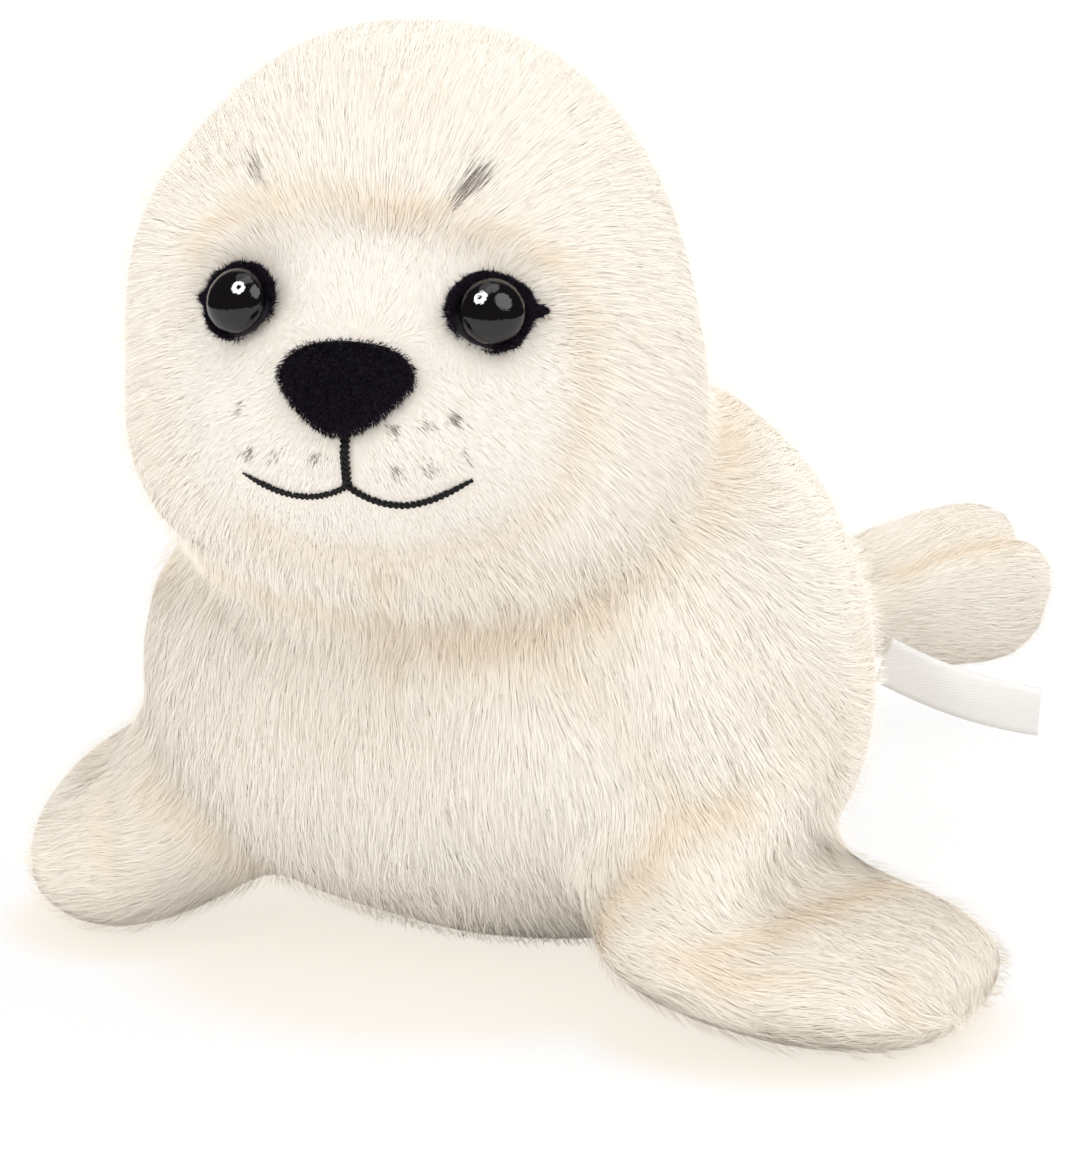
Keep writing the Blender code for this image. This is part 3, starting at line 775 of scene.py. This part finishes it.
def grow_pile(skin, name, weight, count, look, material, seed):
    """A piece of pile, spread over the skin by weight, with hairs of this look."""
    rng = np.random.default_rng(seed)
    spots = sample(skin, weight, count, rng)
    root, normal = at(skin.points, spots), unit(at(skin.normals, spots))
    way = at(skin.flow, spots)
    length = at(skin.length, spots)
    middle, own, apart = tufts(root, look.tuft, seed)

    sweep = np.radians(look.sweep) * ripple(root, 0.022, 11) + np.radians(look.stray) * (own[:, 0] - 0.5)
    sweep += np.radians(look.jitter) * rng.normal(size=count)
    way = unit(way - normal * dot(way, normal))
    across = np.cross(normal, way)
    way = way * np.cos(sweep)[:, None] + across * np.sin(sweep)[:, None]
    across = np.cross(normal, way)

    uneven = 0.86 + 0.22 * own[:, 1] + 0.10 * rng.normal(size=count).clip(-2, 2)
    length = length * look.scale(root, spots) * uneven
    uneven = ripple(root, 0.030, 12) + own[:, 2] - 0.5 + 0.6 * rng.normal(size=count)
    lift = look.lift * (1.0 + look.rough * uneven)
    loose = rng.random(count) < look.loose
    lift = np.where(loose, lift * 2.6 + 9.0, lift)
    low = np.radians(np.clip(lift * 1.35, 2, 80))[:, None]
    high = np.radians(np.clip(lift * 0.75, 1, 70))[:, None]
    span = length[:, None]
    pull = middle - root
    pull = (pull - normal * dot(pull, normal)) * look.pull
    bend_height = span * BEND * np.sin(low)
    tip_height = bend_height + span * (1 - BEND) * np.sin(high)
    bend = root + (way * np.cos(low) + normal * np.sin(low)) * span * BEND + pull * 0.45
    bend = combed(skin.tree, bend, bend_height)
    onward = unit(bend - root)
    onward = unit(onward - normal * dot(onward, normal)) * np.cos(high) + normal * np.sin(high)
    tip = combed(skin.tree, bend + onward * span * (1 - BEND) + pull * 0.55, tip_height)

    roll = np.radians(look.roll) * rng.normal(size=count)[:, None]
    width = (look.width * np.where(loose, 0.6, 0.75 + 0.5 * rng.random(count)))[:, None]
    side = (across * np.cos(roll) + normal * np.sin(roll)) * -0.5 * width
    # Tones mixed at random, and darker at the edges of tufts: painted shade for the shaded gaps between
    # tufts
    tone = look.tone(root, spots, rng) + look.mottle * (1.2 * (apart - 0.4) + 0.6 * rng.normal(size=count))
    inked = look.ink(0.45 * bend + 0.55 * tip, rng)
    tones = [np.maximum(tone, inked * share) for share in (0.0, 0.92, 1.0)]
    mesh = hair_mesh(name, root, bend, tip, side, [np.clip(t, 0.004, 0.996) for t in tones])
    return new_piece(name, mesh, material)


def cream_with_painted_shade(root, spots, rng):
    """Cream, with painted shade (a warmer tone) at seams and creases, painted warm shade low down near the
    floor, and a little random tone.
    """
    # Painted warm shade low down, where the floor shades the pile and bounces warm light onto it
    low = ramp(-root[:, 2], -0.040, -0.004)
    tan = 0.22 * at(skin.seam, spots) + at(skin.tan, spots)
    return 0.05 + tan + 0.08 * low + 0.04 * ripple(root, 0.035, 21)


def near_stroke(places, start, end):
    """How far each place is from a short stroke between two points."""
    start, end = np.array(start), np.array(end)
    along = ((places - start) @ (end - start) / ((end - start) @ (end - start))).clip(0, 1)
    return np.linalg.norm(places - start - along[:, None] * (end - start), axis=1)


def no_ink(places, rng):
    return np.zeros(len(places))


def brow_ink(places, rng):
    """The two soft marks printed on the tips above the eyes."""
    local = in_head(places)
    ink = np.zeros(len(places))
    for start, end, radius, dark in BROW_MARKS:
        gap = near_stroke(local[:, [0, 2]], start, end) / radius
        chance = dark * np.exp(-(gap ** 2)) * (local[:, 1] < 0)
        ink = np.maximum(ink, (rng.random(len(places)) < chance) * (0.62 + 0.3 * rng.random(len(places))))
    return ink


def face_tone(root, spots, rng):
    # Nearly white, with painted shade at the face's seams and creases
    return 0.02 + 0.25 * at(skin.seam, spots) + at(skin.tan, spots)


def whisker_ink(places, rng):
    """Rows of soft dots beside the nose."""
    local = in_head(places)[:, [0, 2]]
    ink = np.zeros(len(places))
    for mark, dark in WHISKER_MARKS:
        gap = np.linalg.norm(local - np.array(mark), axis=1) / WHISKER_RADIUS
        chance = dark * np.exp(-(gap ** 2))
        ink = np.maximum(ink, (rng.random(len(places)) < chance) * (0.70 + 0.2 * rng.random(len(places))))
    return ink


def whole(root, spots):
    return np.ones(len(root))


# What a look has unless it says otherwise: how the hairs turn aside in degrees, over broad
# swathes, by tuft and each by itself, how long they are, how far they roll, how mixed their
# tones are with the painted shade at tuft edges, how uneven their lifts are, which share stands loose, and
# what ink their tips have
PLAIN_LOOK = {
    "sweep": 10.0,
    "stray": 14.0,
    "jitter": 6.0,
    "scale": whole,
    "roll": 3.0,
    "mottle": 0.025,
    "rough": 0.25,
    "loose": 0.07,
    "ink": no_ink,
}


def look(width, tuft, pull, lift, tone, **changes):
    """How hairs look: their width, the size of tufts and the pull into them, and the lift in degrees."""
    return SimpleNamespace(width=width, tuft=tuft, pull=pull, lift=lift, tone=tone, **(PLAIN_LOOK | changes))


thread_trees = [tree_of(name) for name in ("mouth_seam", "mouth_lip_left", "mouth_lip_right")]
inset_trees = [tree_of(name) for name in ("nose", "eye_patch_left", "eye_patch_right")]
face_thread_gap = np.full(len(inner), 1.0)
face_inset_gap = np.full(len(inner), 1.0)
for k in np.flatnonzero(part_of == column("face_panel")):
    face_thread_gap[k] = min(tree.find_nearest(inner[k])[3] for tree in thread_trees)
    face_inset_gap[k] = min(tree.find_nearest(inner[k])[3] for tree in inset_trees)


def face_scale(root, spots):
    """Shorter beside the mouth's thread, the nose and the eyes."""
    thread = ramp(at(face_thread_gap, spots), 0.0015, 0.0055)
    inset = ramp(at(face_inset_gap, spots), 0.0020, 0.0060)
    return (0.45 + 0.55 * thread) * (0.6 + 0.4 * inset)


HOOD = look(0.00018, 0.0028, 0.04, 4.5, cream_with_painted_shade, sweep=8, stray=8, jitter=4, ink=brow_ink)
JOWL = look(0.00019, 0.0036, 0.08, 6, cream_with_painted_shade, sweep=12, stray=16, jitter=7, loose=0.12)
CHEST = look(0.00018, 0.0036, 0.05, 4.8, cream_with_painted_shade, sweep=12, stray=10, jitter=5, loose=0.08)
BODY = look(0.00021, 0.0040, 0.04, 4.2, cream_with_painted_shade, sweep=10, stray=8, jitter=5, loose=0.08)
PADDLE = look(0.00018, 0.0034, 0.05, 4.8, cream_with_painted_shade, sweep=14, stray=10, jitter=6, loose=0.12)
FACE = look(
    0.00020, 0.0020, 0.05, 7.5, face_tone,
    stray=12, jitter=8, scale=face_scale, loose=0.04, ink=whisker_ink,
)


def over(name):
    return (part_of == column(name)).astype(float)


def with_floor(weight):
    """Thin where the skin faces the floor."""
    facing = ramp(-skin.normals[:, 2], 0.55, 0.9) * ramp(-inner[:, 2], -0.006, -0.002)
    return weight * (1 - 0.8 * facing)


front_of_head = local[:, 1] < 0.004
under_chin = (local[:, 2] < -0.024) & front_of_head
chest_side = inner[:, 1] < -0.004
hood, torso = over("head"), over("torso")

PILES = (
    ("hood_pile_front", hood * (front_of_head & ~under_chin), 78000, HOOD, LONG_PILE),
    ("hood_pile_under", hood * under_chin, 28000, JOWL, LONG_PILE),
    ("hood_pile_back", hood * ~front_of_head, 49000, HOOD, LONG_PILE),
    ("face_pile", over("face_panel"), 46000, FACE, SHORT_PILE),
    ("chest_pile", torso * chest_side, 72000, CHEST, LONG_PILE),
    ("back_pile", torso * ~chest_side, 58000, BODY, LONG_PILE),
    ("front_flipper_left_pile", over("front_flipper_left"), 40000, PADDLE, LONG_PILE),
    ("front_flipper_right_pile", over("front_flipper_right"), 38000, PADDLE, LONG_PILE),
    ("hind_flipper_left_pile", over("hind_flipper_left"), 12000, PADDLE, LONG_PILE),
    ("hind_flipper_right_pile", over("hind_flipper_right"), 12000, PADDLE, LONG_PILE),
)
for seed, (name, weight, count, style, material) in enumerate(PILES, 1):
    grow_pile(skin, name, with_floor(weight), count, style, material, seed)

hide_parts(*SOFT)

# Nose and the black surrounds of the eyes: soft pads with short black pile


def any_tone(root, spots, rng):
    return rng.random(len(root))


NOSE_FUZZ = look(0.00020, 0.0010, 0.10, 34, any_tone, stray=70, jitter=35, roll=25, rough=0.5, loose=0.2)
RIM_FUZZ = look(0.00018, 0.0010, 0.10, 22, any_tone, stray=40, jitter=28, roll=25, rough=0.5, loose=0.2)
FACING = from_head(np.array([[0.0, -1.0, 0.0]]))


def as_made(points):
    return points


def fitted_rim(side):
    """The black surround drawn in close round its dome, with a slim outer corner and a raised inner edge."""

    def fitted(points):
        middle = np.array([side * EYES[0][0], 0.0, EYES[0][1]])
        local = in_head(points) - middle
        along = local[:, 0] * side
        corner = ramp(along, 0.0058, 0.0090)
        local[:, 2] = local[:, 2] * 0.90 * (1 - 0.72 * corner) + 0.0006
        slim = np.where(along < 0, along * (0.93 if side > 0 else 0.84), along)
        slim = np.where(along > 0.0070, 0.0070 + (along - 0.0070) * 0.62, slim)
        local[:, 0] = side * slim
        gap = np.linalg.norm(local[:, [0, 2]], axis=1)
        local[:, 1] -= 0.0011 * ramp(gap, 0.0054, 0.0064) * ramp(gap, 0.0098, 0.0074)
        return np.array(HEAD_CENTRE) + from_head(local + middle)

    return fitted


def soft_pad(name, node, voxel, fit):
    """A node's solid as a soft pad: finely meshed, relaxed, and a little uneven."""
    pad = new_piece(name, fused_mesh(name, (node,), 0.0), FELT)
    finer = pad.modifiers.new("finer", "REMESH")
    finer.mode = "VOXEL"
    finer.voxel_size = voxel
    ease = pad.modifiers.new("ease", "SMOOTH")
    ease.factor = 0.5
    ease.iterations = 4
    settle(pad)
    mesh = pad.data
    mesh.materials.clear()
    mesh.materials.append(FELT)
    points = vectors_of(mesh.vertices, "co")
    outward = vectors_of(mesh.vertex_normals, "vector")
    points = fit(points + outward * (0.00010 * ripple(points, 0.0022, 31))[:, None])
    mesh.vertices.foreach_set("co", points.astype(np.float32).ravel())
    mesh.update()
    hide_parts(node)
    return pad


def pad_surface(pad, length, flow):
    form = surface_of(pad.data)
    form.flow = unit(flow - form.normals * dot(flow, form.normals))
    form.length = np.full(len(form.points), length)
    form.front = ramp(dot(form.normals, FACING)[:, 0], -0.2, 0.3)
    return form


nose_pad = soft_pad("nose_pad", "nose", 0.0006, as_made)
nose_form = pad_surface(nose_pad, 0.0016, np.tile([0.1, 0.0, -1.0], (len(nose_pad.data.vertices), 1)))
grow_pile(nose_form, "nose_fuzz", nose_form.front, 9000, NOSE_FUZZ, BLACK_PILE, 41)

for side, label in ((1, "left"), (-1, "right")):
    rim = soft_pad("eye_rim_" + label, "eye_patch_" + label, 0.0005, fitted_rim(side))
    places = in_head(vectors_of(rim.data.vertices, "co"))
    middle = np.array([side * EYES[0][0], 0.0, EYES[0][1]])
    away = (places - middle) * (1, 0, 1)
    rim_form = pad_surface(rim, 0.0019, from_head(away) + 1e-6)
    out_of_dome = ramp(np.linalg.norm(away, axis=1), 0.0050, 0.0060)
    weight = rim_form.front * out_of_dome
    grow_pile(rim_form, "eye_fuzz_" + label, weight, 5000, RIM_FUZZ, BLACK_PILE, 43 + side)

for name in ("eye_left", "eye_right"):
    repaint(name, eye_material())
    weld = nodes[name].modifiers.new("weld", "WELD")
    weld.merge_threshold = 0.00001
    finer = nodes[name].modifiers.new("finer", "SUBSURF")
    finer.levels = finer.render_levels = 2
for name in ("eye_washer_left", "eye_washer_right"):
    repaint(name, washer_material())

# Mouth: twisted thread laid on the face


THREAD_STEP = 0.00026
TWIST_LENGTH = 0.0021
PLY_SIDES = 7


def on_face(x, z, height):
    """The place on the face panel at this place in the head's frame, raised along its normal."""
    turn = HEAD.to_3x3()
    place, normal, _, _ = trees["face_panel"].ray_cast(HEAD @ Vector((x, -0.2, z)), turn @ Vector((0, 1, 0)))
    return place + normal * height, normal


def twisted_thread(name, node, marks, radius, ends):
    """Two plies twisted round a line over the face. ends says how thick it starts and stops."""
    shape = bmesh.new()
    places, normals = zip(*(on_face(x, z, -0.0002) for x, z in marks))
    places, normals = np.array(places), np.array(normals)
    walked = np.concatenate([[0.0], np.cumsum(np.linalg.norm(np.diff(places, axis=0), axis=1))])
    steps = int(walked[-1] / THREAD_STEP)
    at_step = np.linspace(0.0, walked[-1], steps + 1)
    line = np.stack([np.interp(at_step, walked, places[:, k]) for k in range(3)], axis=1)
    up = unit(np.stack([np.interp(at_step, walked, normals[:, k]) for k in range(3)], axis=1))
    run = unit(np.gradient(line, axis=0))
    across = np.cross(run, up)
    size = radius * np.interp(at_step / walked[-1], (0.0, 0.12, 0.80, 1.0), (ends[0], 1.0, 1.0, ends[1]))
    for ply in range(2):
        turn = 2 * pi * at_step / TWIST_LENGTH + pi * ply
        rings = []
        for k in range(steps + 1):
            middle = line[k] + (across[k] * cos(turn[k]) + up[k] * sin(turn[k])) * size[k] * 0.42
            ring = []
            for j in range(PLY_SIDES):
                angle = 2 * pi * j / PLY_SIDES
                outward = (across[k] * cos(angle) + up[k] * sin(angle)) * size[k] * 0.66
                ring.append(shape.verts.new(middle + outward))
            rings.append(ring)
        for near, far in zip(rings, rings[1:]):
            for j in range(PLY_SIDES):
                shape.faces.new((near[j], near[j - 1], far[j - 1], far[j]))
        shape.faces.new(rings[0])
        shape.faces.new(rings[-1][::-1])
    bmesh.ops.recalc_face_normals(shape, faces=shape.faces)
    mesh = bpy.data.meshes.new(name)
    shape.to_mesh(mesh)
    shape.free()
    mesh.shade_smooth()
    made = new_piece(name, mesh, THREAD)
    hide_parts(node)
    return made


def smile(side, sag, lift):
    """Points along one side of the smile, from the middle out."""
    marks = []
    for k in range(25):
        share = k / 24
        across = side * (0.0002 + 0.0216 * share)
        marks.append((across, -0.0085 - sag * sin(pi * share ** 0.85) + lift * share))
    return marks


THREAD = thread_material()
below_nose = [(0.0, 0.0014 - 0.0100 * k / 8) for k in range(9)]
twisted_thread("philtrum_thread", "mouth_seam", below_nose, 0.00092, (1, 1))
twisted_thread("smile_thread_left", "mouth_lip_left", smile(1, 0.0042, 0.0012), 0.00066, (1, 0.55))
twisted_thread("smile_thread_right", "mouth_lip_right", smile(-1, 0.0030, 0.0002), 0.00062, (1, 0.35))

# Care label: a thin ribbon sewn into the side seam, bare on both faces

LABEL_ROOT = Vector((0.0464, 0.0766, 0.0482))
LABEL_WIDTH = 0.0108
LABEL_LENGTH = 0.0455
LABEL_HIDDEN = 0.0080


def label_mesh():
    """The ribbon droops as it leaves the seam, and its width curls a little."""
    steps, columns = 60, 8
    middle = LABEL_ROOT.copy()
    turn = radians(4)
    rows = []
    for k in range(steps + 1):
        share = k / steps
        slope = radians(31 - 26 * share)
        if k:
            middle += Vector((cos(turn) * cos(slope), sin(turn), -sin(slope))) * LABEL_LENGTH / steps
        if share * LABEL_LENGTH < LABEL_HIDDEN:
            continue
        tilt = Vector((sin(slope) * 0.8, 0.10, cos(slope))).normalized()
        face = tilt.cross(Vector((cos(slope), 0.0, -sin(slope)))).normalized()
        row = []
        for j in range(columns + 1):
            w = j / columns - 0.5
            curl = 0.0007 * (4 * w * w - 0.3) * share + 0.0002 * sin(9 * share + 3 * w)
            row.append(middle + tilt * LABEL_WIDTH * w + face * curl)
        rows.append(row)
    corners = [tuple(point) for row in rows for point in row]
    wide = columns + 1
    faces = []
    for k in range(len(rows) - 1):
        for j in range(columns):
            faces.append((k * wide + j, k * wide + j + 1, (k + 1) * wide + j + 1, (k + 1) * wide + j))
    mesh = bpy.data.meshes.new("label_ribbon")
    mesh.from_pydata(corners, [], faces)
    mesh.shade_smooth()
    return mesh


label = new_piece("label_ribbon", label_mesh(), RIBBON)
weave = label.modifiers.new("weave", "SOLIDIFY")
weave.thickness = 0.00035
weave.offset = 0.0
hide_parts("care_label")


# Stage: floor, light and camera


def stage_piece(name, corners, faces, material):
    mesh = bpy.data.meshes.new(name)
    mesh.from_pydata(corners, [], faces)
    mesh.materials.append(material)
    made = bpy.data.objects.new(name, mesh)
    bpy.context.scene.collection.objects.link(made)
    return made


# The middles and half sizes, in metres, of the places where the floor carries a painted warm shadow tint
SHADE_PLACES = (
    ((-0.004, -0.004), (0.066, 0.070)),
    ((0.076, -0.040), (0.037, 0.036)),
    ((-0.072, -0.022), (0.032, 0.034)),
)


PAINTED_SHADOW_TINT = (1.0, 0.93, 0.835)
FLOOR_GLOW = 0.84
FLOOR_HALF = 60.0


def floor_material():
    """A white floor that looks nearly white to the camera, with a painted warm shadow tint close to the
    seal.
    """
    shader = Shader("pale_floor", (0.97, 0.96, 0.95), 0.9, Specular_IOR_Level=0.1)
    where = shader.node("TexCoord")
    shadow_tint_share = None
    for middle, half in SHADE_PLACES:
        gap = shader.node("VectorMath", operation="SUBTRACT")
        gap.inputs[1].default_value = (*middle, 0.0)
        shader.link(where.outputs["Object"], gap.inputs[0])
        scaled = shader.node("VectorMath", operation="DIVIDE")
        scaled.inputs[1].default_value = (*half, 1.0)
        shader.link(gap.outputs["Vector"], scaled.inputs[0])
        size = shader.node("VectorMath", operation="LENGTH")
        shader.link(scaled.outputs["Vector"], size.inputs[0])
        fade = shader.node("MapRange", interpolation_type="SMOOTHSTEP")
        fade.inputs["From Min"].default_value = 0.95
        fade.inputs["From Max"].default_value = 1.30
        fade.inputs["To Min"].default_value = 1.0
        fade.inputs["To Max"].default_value = 0.0
        shader.link(size.outputs["Value"], fade.inputs["Value"])
        if shadow_tint_share is None:
            shadow_tint_share = fade.outputs["Result"]
        else:
            most = shader.node("Math", operation="MAXIMUM")
            shader.link(shadow_tint_share, most.inputs[0])
            shader.link(fade.outputs["Result"], most.inputs[1])
            shadow_tint_share = most.outputs[0]
    glow = shader.node("Emission")
    # The painted warm shadow: the camera's glow turns warm over these places
    shade = shader.ramp(shadow_tint_share, ((0.0, (1.0, 1.0, 1.0)), (1.0, PAINTED_SHADOW_TINT)))
    shader.link(shade, glow.inputs["Color"])
    path = shader.node("LightPath")
    part = shader.node("Math", operation="MULTIPLY")
    part.inputs[1].default_value = FLOOR_GLOW
    shader.link(path.outputs["Is Camera Ray"], part.inputs[0])
    mix = shader.node("MixShader")
    shader.link(part.outputs[0], mix.inputs["Fac"])
    shader.link(shader.principled.outputs[0], mix.inputs[1])
    shader.link(glow.outputs[0], mix.inputs[2])
    shader.link(mix.outputs[0], shader.tree.nodes["Material Output"].inputs["Surface"])
    return shader.material


floor_corners = [(x * FLOOR_HALF, y * FLOOR_HALF, 0.0) for x, y in ((-1, -1), (1, -1), (1, 1), (-1, 1))]
stage_piece("floor", floor_corners, [(0, 1, 2, 3)], floor_material())


def studio_world():
    """Soft light from all round, and white where the camera or a polished surface looks past the seal."""
    world = bpy.data.worlds.new("studio")
    bpy.context.scene.world = world
    world.use_nodes = True
    tree = world.node_tree
    backdrop = tree.nodes["Background"]
    backdrop.inputs["Color"].default_value = (1.0, 1.0, 1.0, 1.0)
    backdrop.inputs["Strength"].default_value = 1.0
    ambient = tree.nodes.new("ShaderNodeBackground")
    ambient.inputs["Color"].default_value = (1.0, 0.99, 0.975, 1.0)
    ambient.inputs["Strength"].default_value = 0.86
    path = tree.nodes.new("ShaderNodeLightPath")
    looked_at = path.outputs["Is Camera Ray"]
    for ray in ("Is Glossy Ray", "Is Transmission Ray"):
        either = tree.nodes.new("ShaderNodeMath")
        either.operation = "MAXIMUM"
        tree.links.new(looked_at, either.inputs[0])
        tree.links.new(path.outputs[ray], either.inputs[1])
        looked_at = either.outputs[0]
    choice = tree.nodes.new("ShaderNodeMixShader")
    tree.links.new(looked_at, choice.inputs["Fac"])
    tree.links.new(ambient.outputs[0], choice.inputs[1])
    tree.links.new(backdrop.outputs[0], choice.inputs[2])
    tree.links.new(choice.outputs[0], tree.nodes["World Output"].inputs["Surface"])


def sun(name, towards, strength, softness):
    """A far, soft light. Its strength is the share of a plain white that it gives a surface facing it."""
    light = bpy.data.lights.new(name, "SUN")
    light.energy = strength * pi
    light.angle = radians(softness)
    made = bpy.data.objects.new(name, light)
    bpy.context.scene.collection.objects.link(made)
    made.rotation_euler = Vector(towards).to_track_quat("Z", "Y").to_euler()


studio_world()
sun("key", (0.52, -0.10, 0.90), 0.30, 70)
sun("fill", (-0.20, -0.97, 0.10), 0.24, 80)


def glow_material(name, shade, strength):
    """The plain glow of a studio card."""
    made = bpy.data.materials.new(name)
    made.use_nodes = True
    tree = made.node_tree
    tree.nodes.remove(tree.nodes["Principled BSDF"])
    glow = tree.nodes.new("ShaderNodeEmission")
    glow.inputs["Color"].default_value = (*shade, 1.0)
    glow.inputs["Strength"].default_value = strength
    tree.links.new(glow.outputs[0], tree.nodes["Material Output"].inputs["Surface"])
    return made


def reflected_card(name, corners, faces, material):
    """A card that only polished surfaces see, so that it gives the seal no light or shade."""
    made = stage_piece(name, corners, faces, material)
    made.visible_camera = False
    made.visible_diffuse = False
    made.visible_transmission = False
    made.visible_shadow = False
    return made


def band(sides, rims):
    """Corners and faces of a band between two rims, each with its radius and height."""
    corners = []
    for radius, height in rims:
        for k in range(sides):
            angle = 2 * pi * k / sides
            corners.append((radius * cos(angle), radius * sin(angle), height))
    faces = [(k, (k + 1) % sides, sides + (k + 1) % sides, sides + k) for k in range(sides)]
    return corners, faces


def ring_card(name, place, inner, outer, strength):
    """A round lamp face with a hole in it, turned towards the seal's eyes."""
    corners, faces = band(32, ((inner, 0.0), (outer, 0.0)))
    made = reflected_card(name, corners, faces, glow_material(name, (1.0, 1.0, 1.0), strength))
    made.location = place
    made.rotation_euler = (BETWEEN_EYES - Vector(place)).to_track_quat("Z", "Y").to_euler()


def round_wall(name, radius, height):
    """The dark room that the eyes mirror."""
    corners, faces = band(48, ((radius, 0.002), (radius, height)))
    reflected_card(name, corners, faces, glow_material(name, (0.03, 0.03, 0.03), 1.0))


BETWEEN_EYES = Vector((0.01, -0.09, 0.14))

round_wall("dark_wall", 1.6, 4.2)
ring_card("bright_card", (-0.06, -0.50, 0.74), 0.09, 0.24, 30.0)
ring_card("dim_card", (0.60, -0.20, 0.62), 0.01, 0.30, 3.0)

# Camera, at the photograph's angle: azimuth 25.5 and elevation 11.3 degrees

CAMERA_AZIMUTH = radians(25.5)
CAMERA_ELEVATION = radians(11.3)
CAMERA_ROLL = radians(-1.285)
CAMERA_DISTANCE = 0.701
CAMERA_ASIDE = 0.00505
CAMERA_AIM_HEIGHT = 0.073

flat = cos(CAMERA_ELEVATION)
camera_back = Vector((sin(CAMERA_AZIMUTH) * flat, -cos(CAMERA_AZIMUTH) * flat, sin(CAMERA_ELEVATION)))
camera_right = Vector((cos(CAMERA_AZIMUTH), sin(CAMERA_AZIMUTH), 0.0))
camera_up = camera_back.cross(camera_right)
rolled_right = camera_right * cos(CAMERA_ROLL) + camera_up * sin(CAMERA_ROLL)
rolled_up = camera_up * cos(CAMERA_ROLL) - camera_right * sin(CAMERA_ROLL)
lens = bpy.data.cameras.new("camera")
lens.sensor_fit = "VERTICAL"
lens.sensor_height = 36.0
lens.lens = 103.56
lens.clip_start = 0.01
camera = bpy.data.objects.new("camera", lens)
bpy.context.scene.collection.objects.link(camera)
pose = Matrix((rolled_right, rolled_up, camera_back)).transposed().to_4x4()
aim = camera_right * CAMERA_ASIDE + Vector((0, 0, CAMERA_AIM_HEIGHT))
pose.translation = aim + camera_back * CAMERA_DISTANCE
camera.matrix_world = pose
bpy.context.scene.camera = camera
bpy.context.scene.view_settings.view_transform = "Standard"
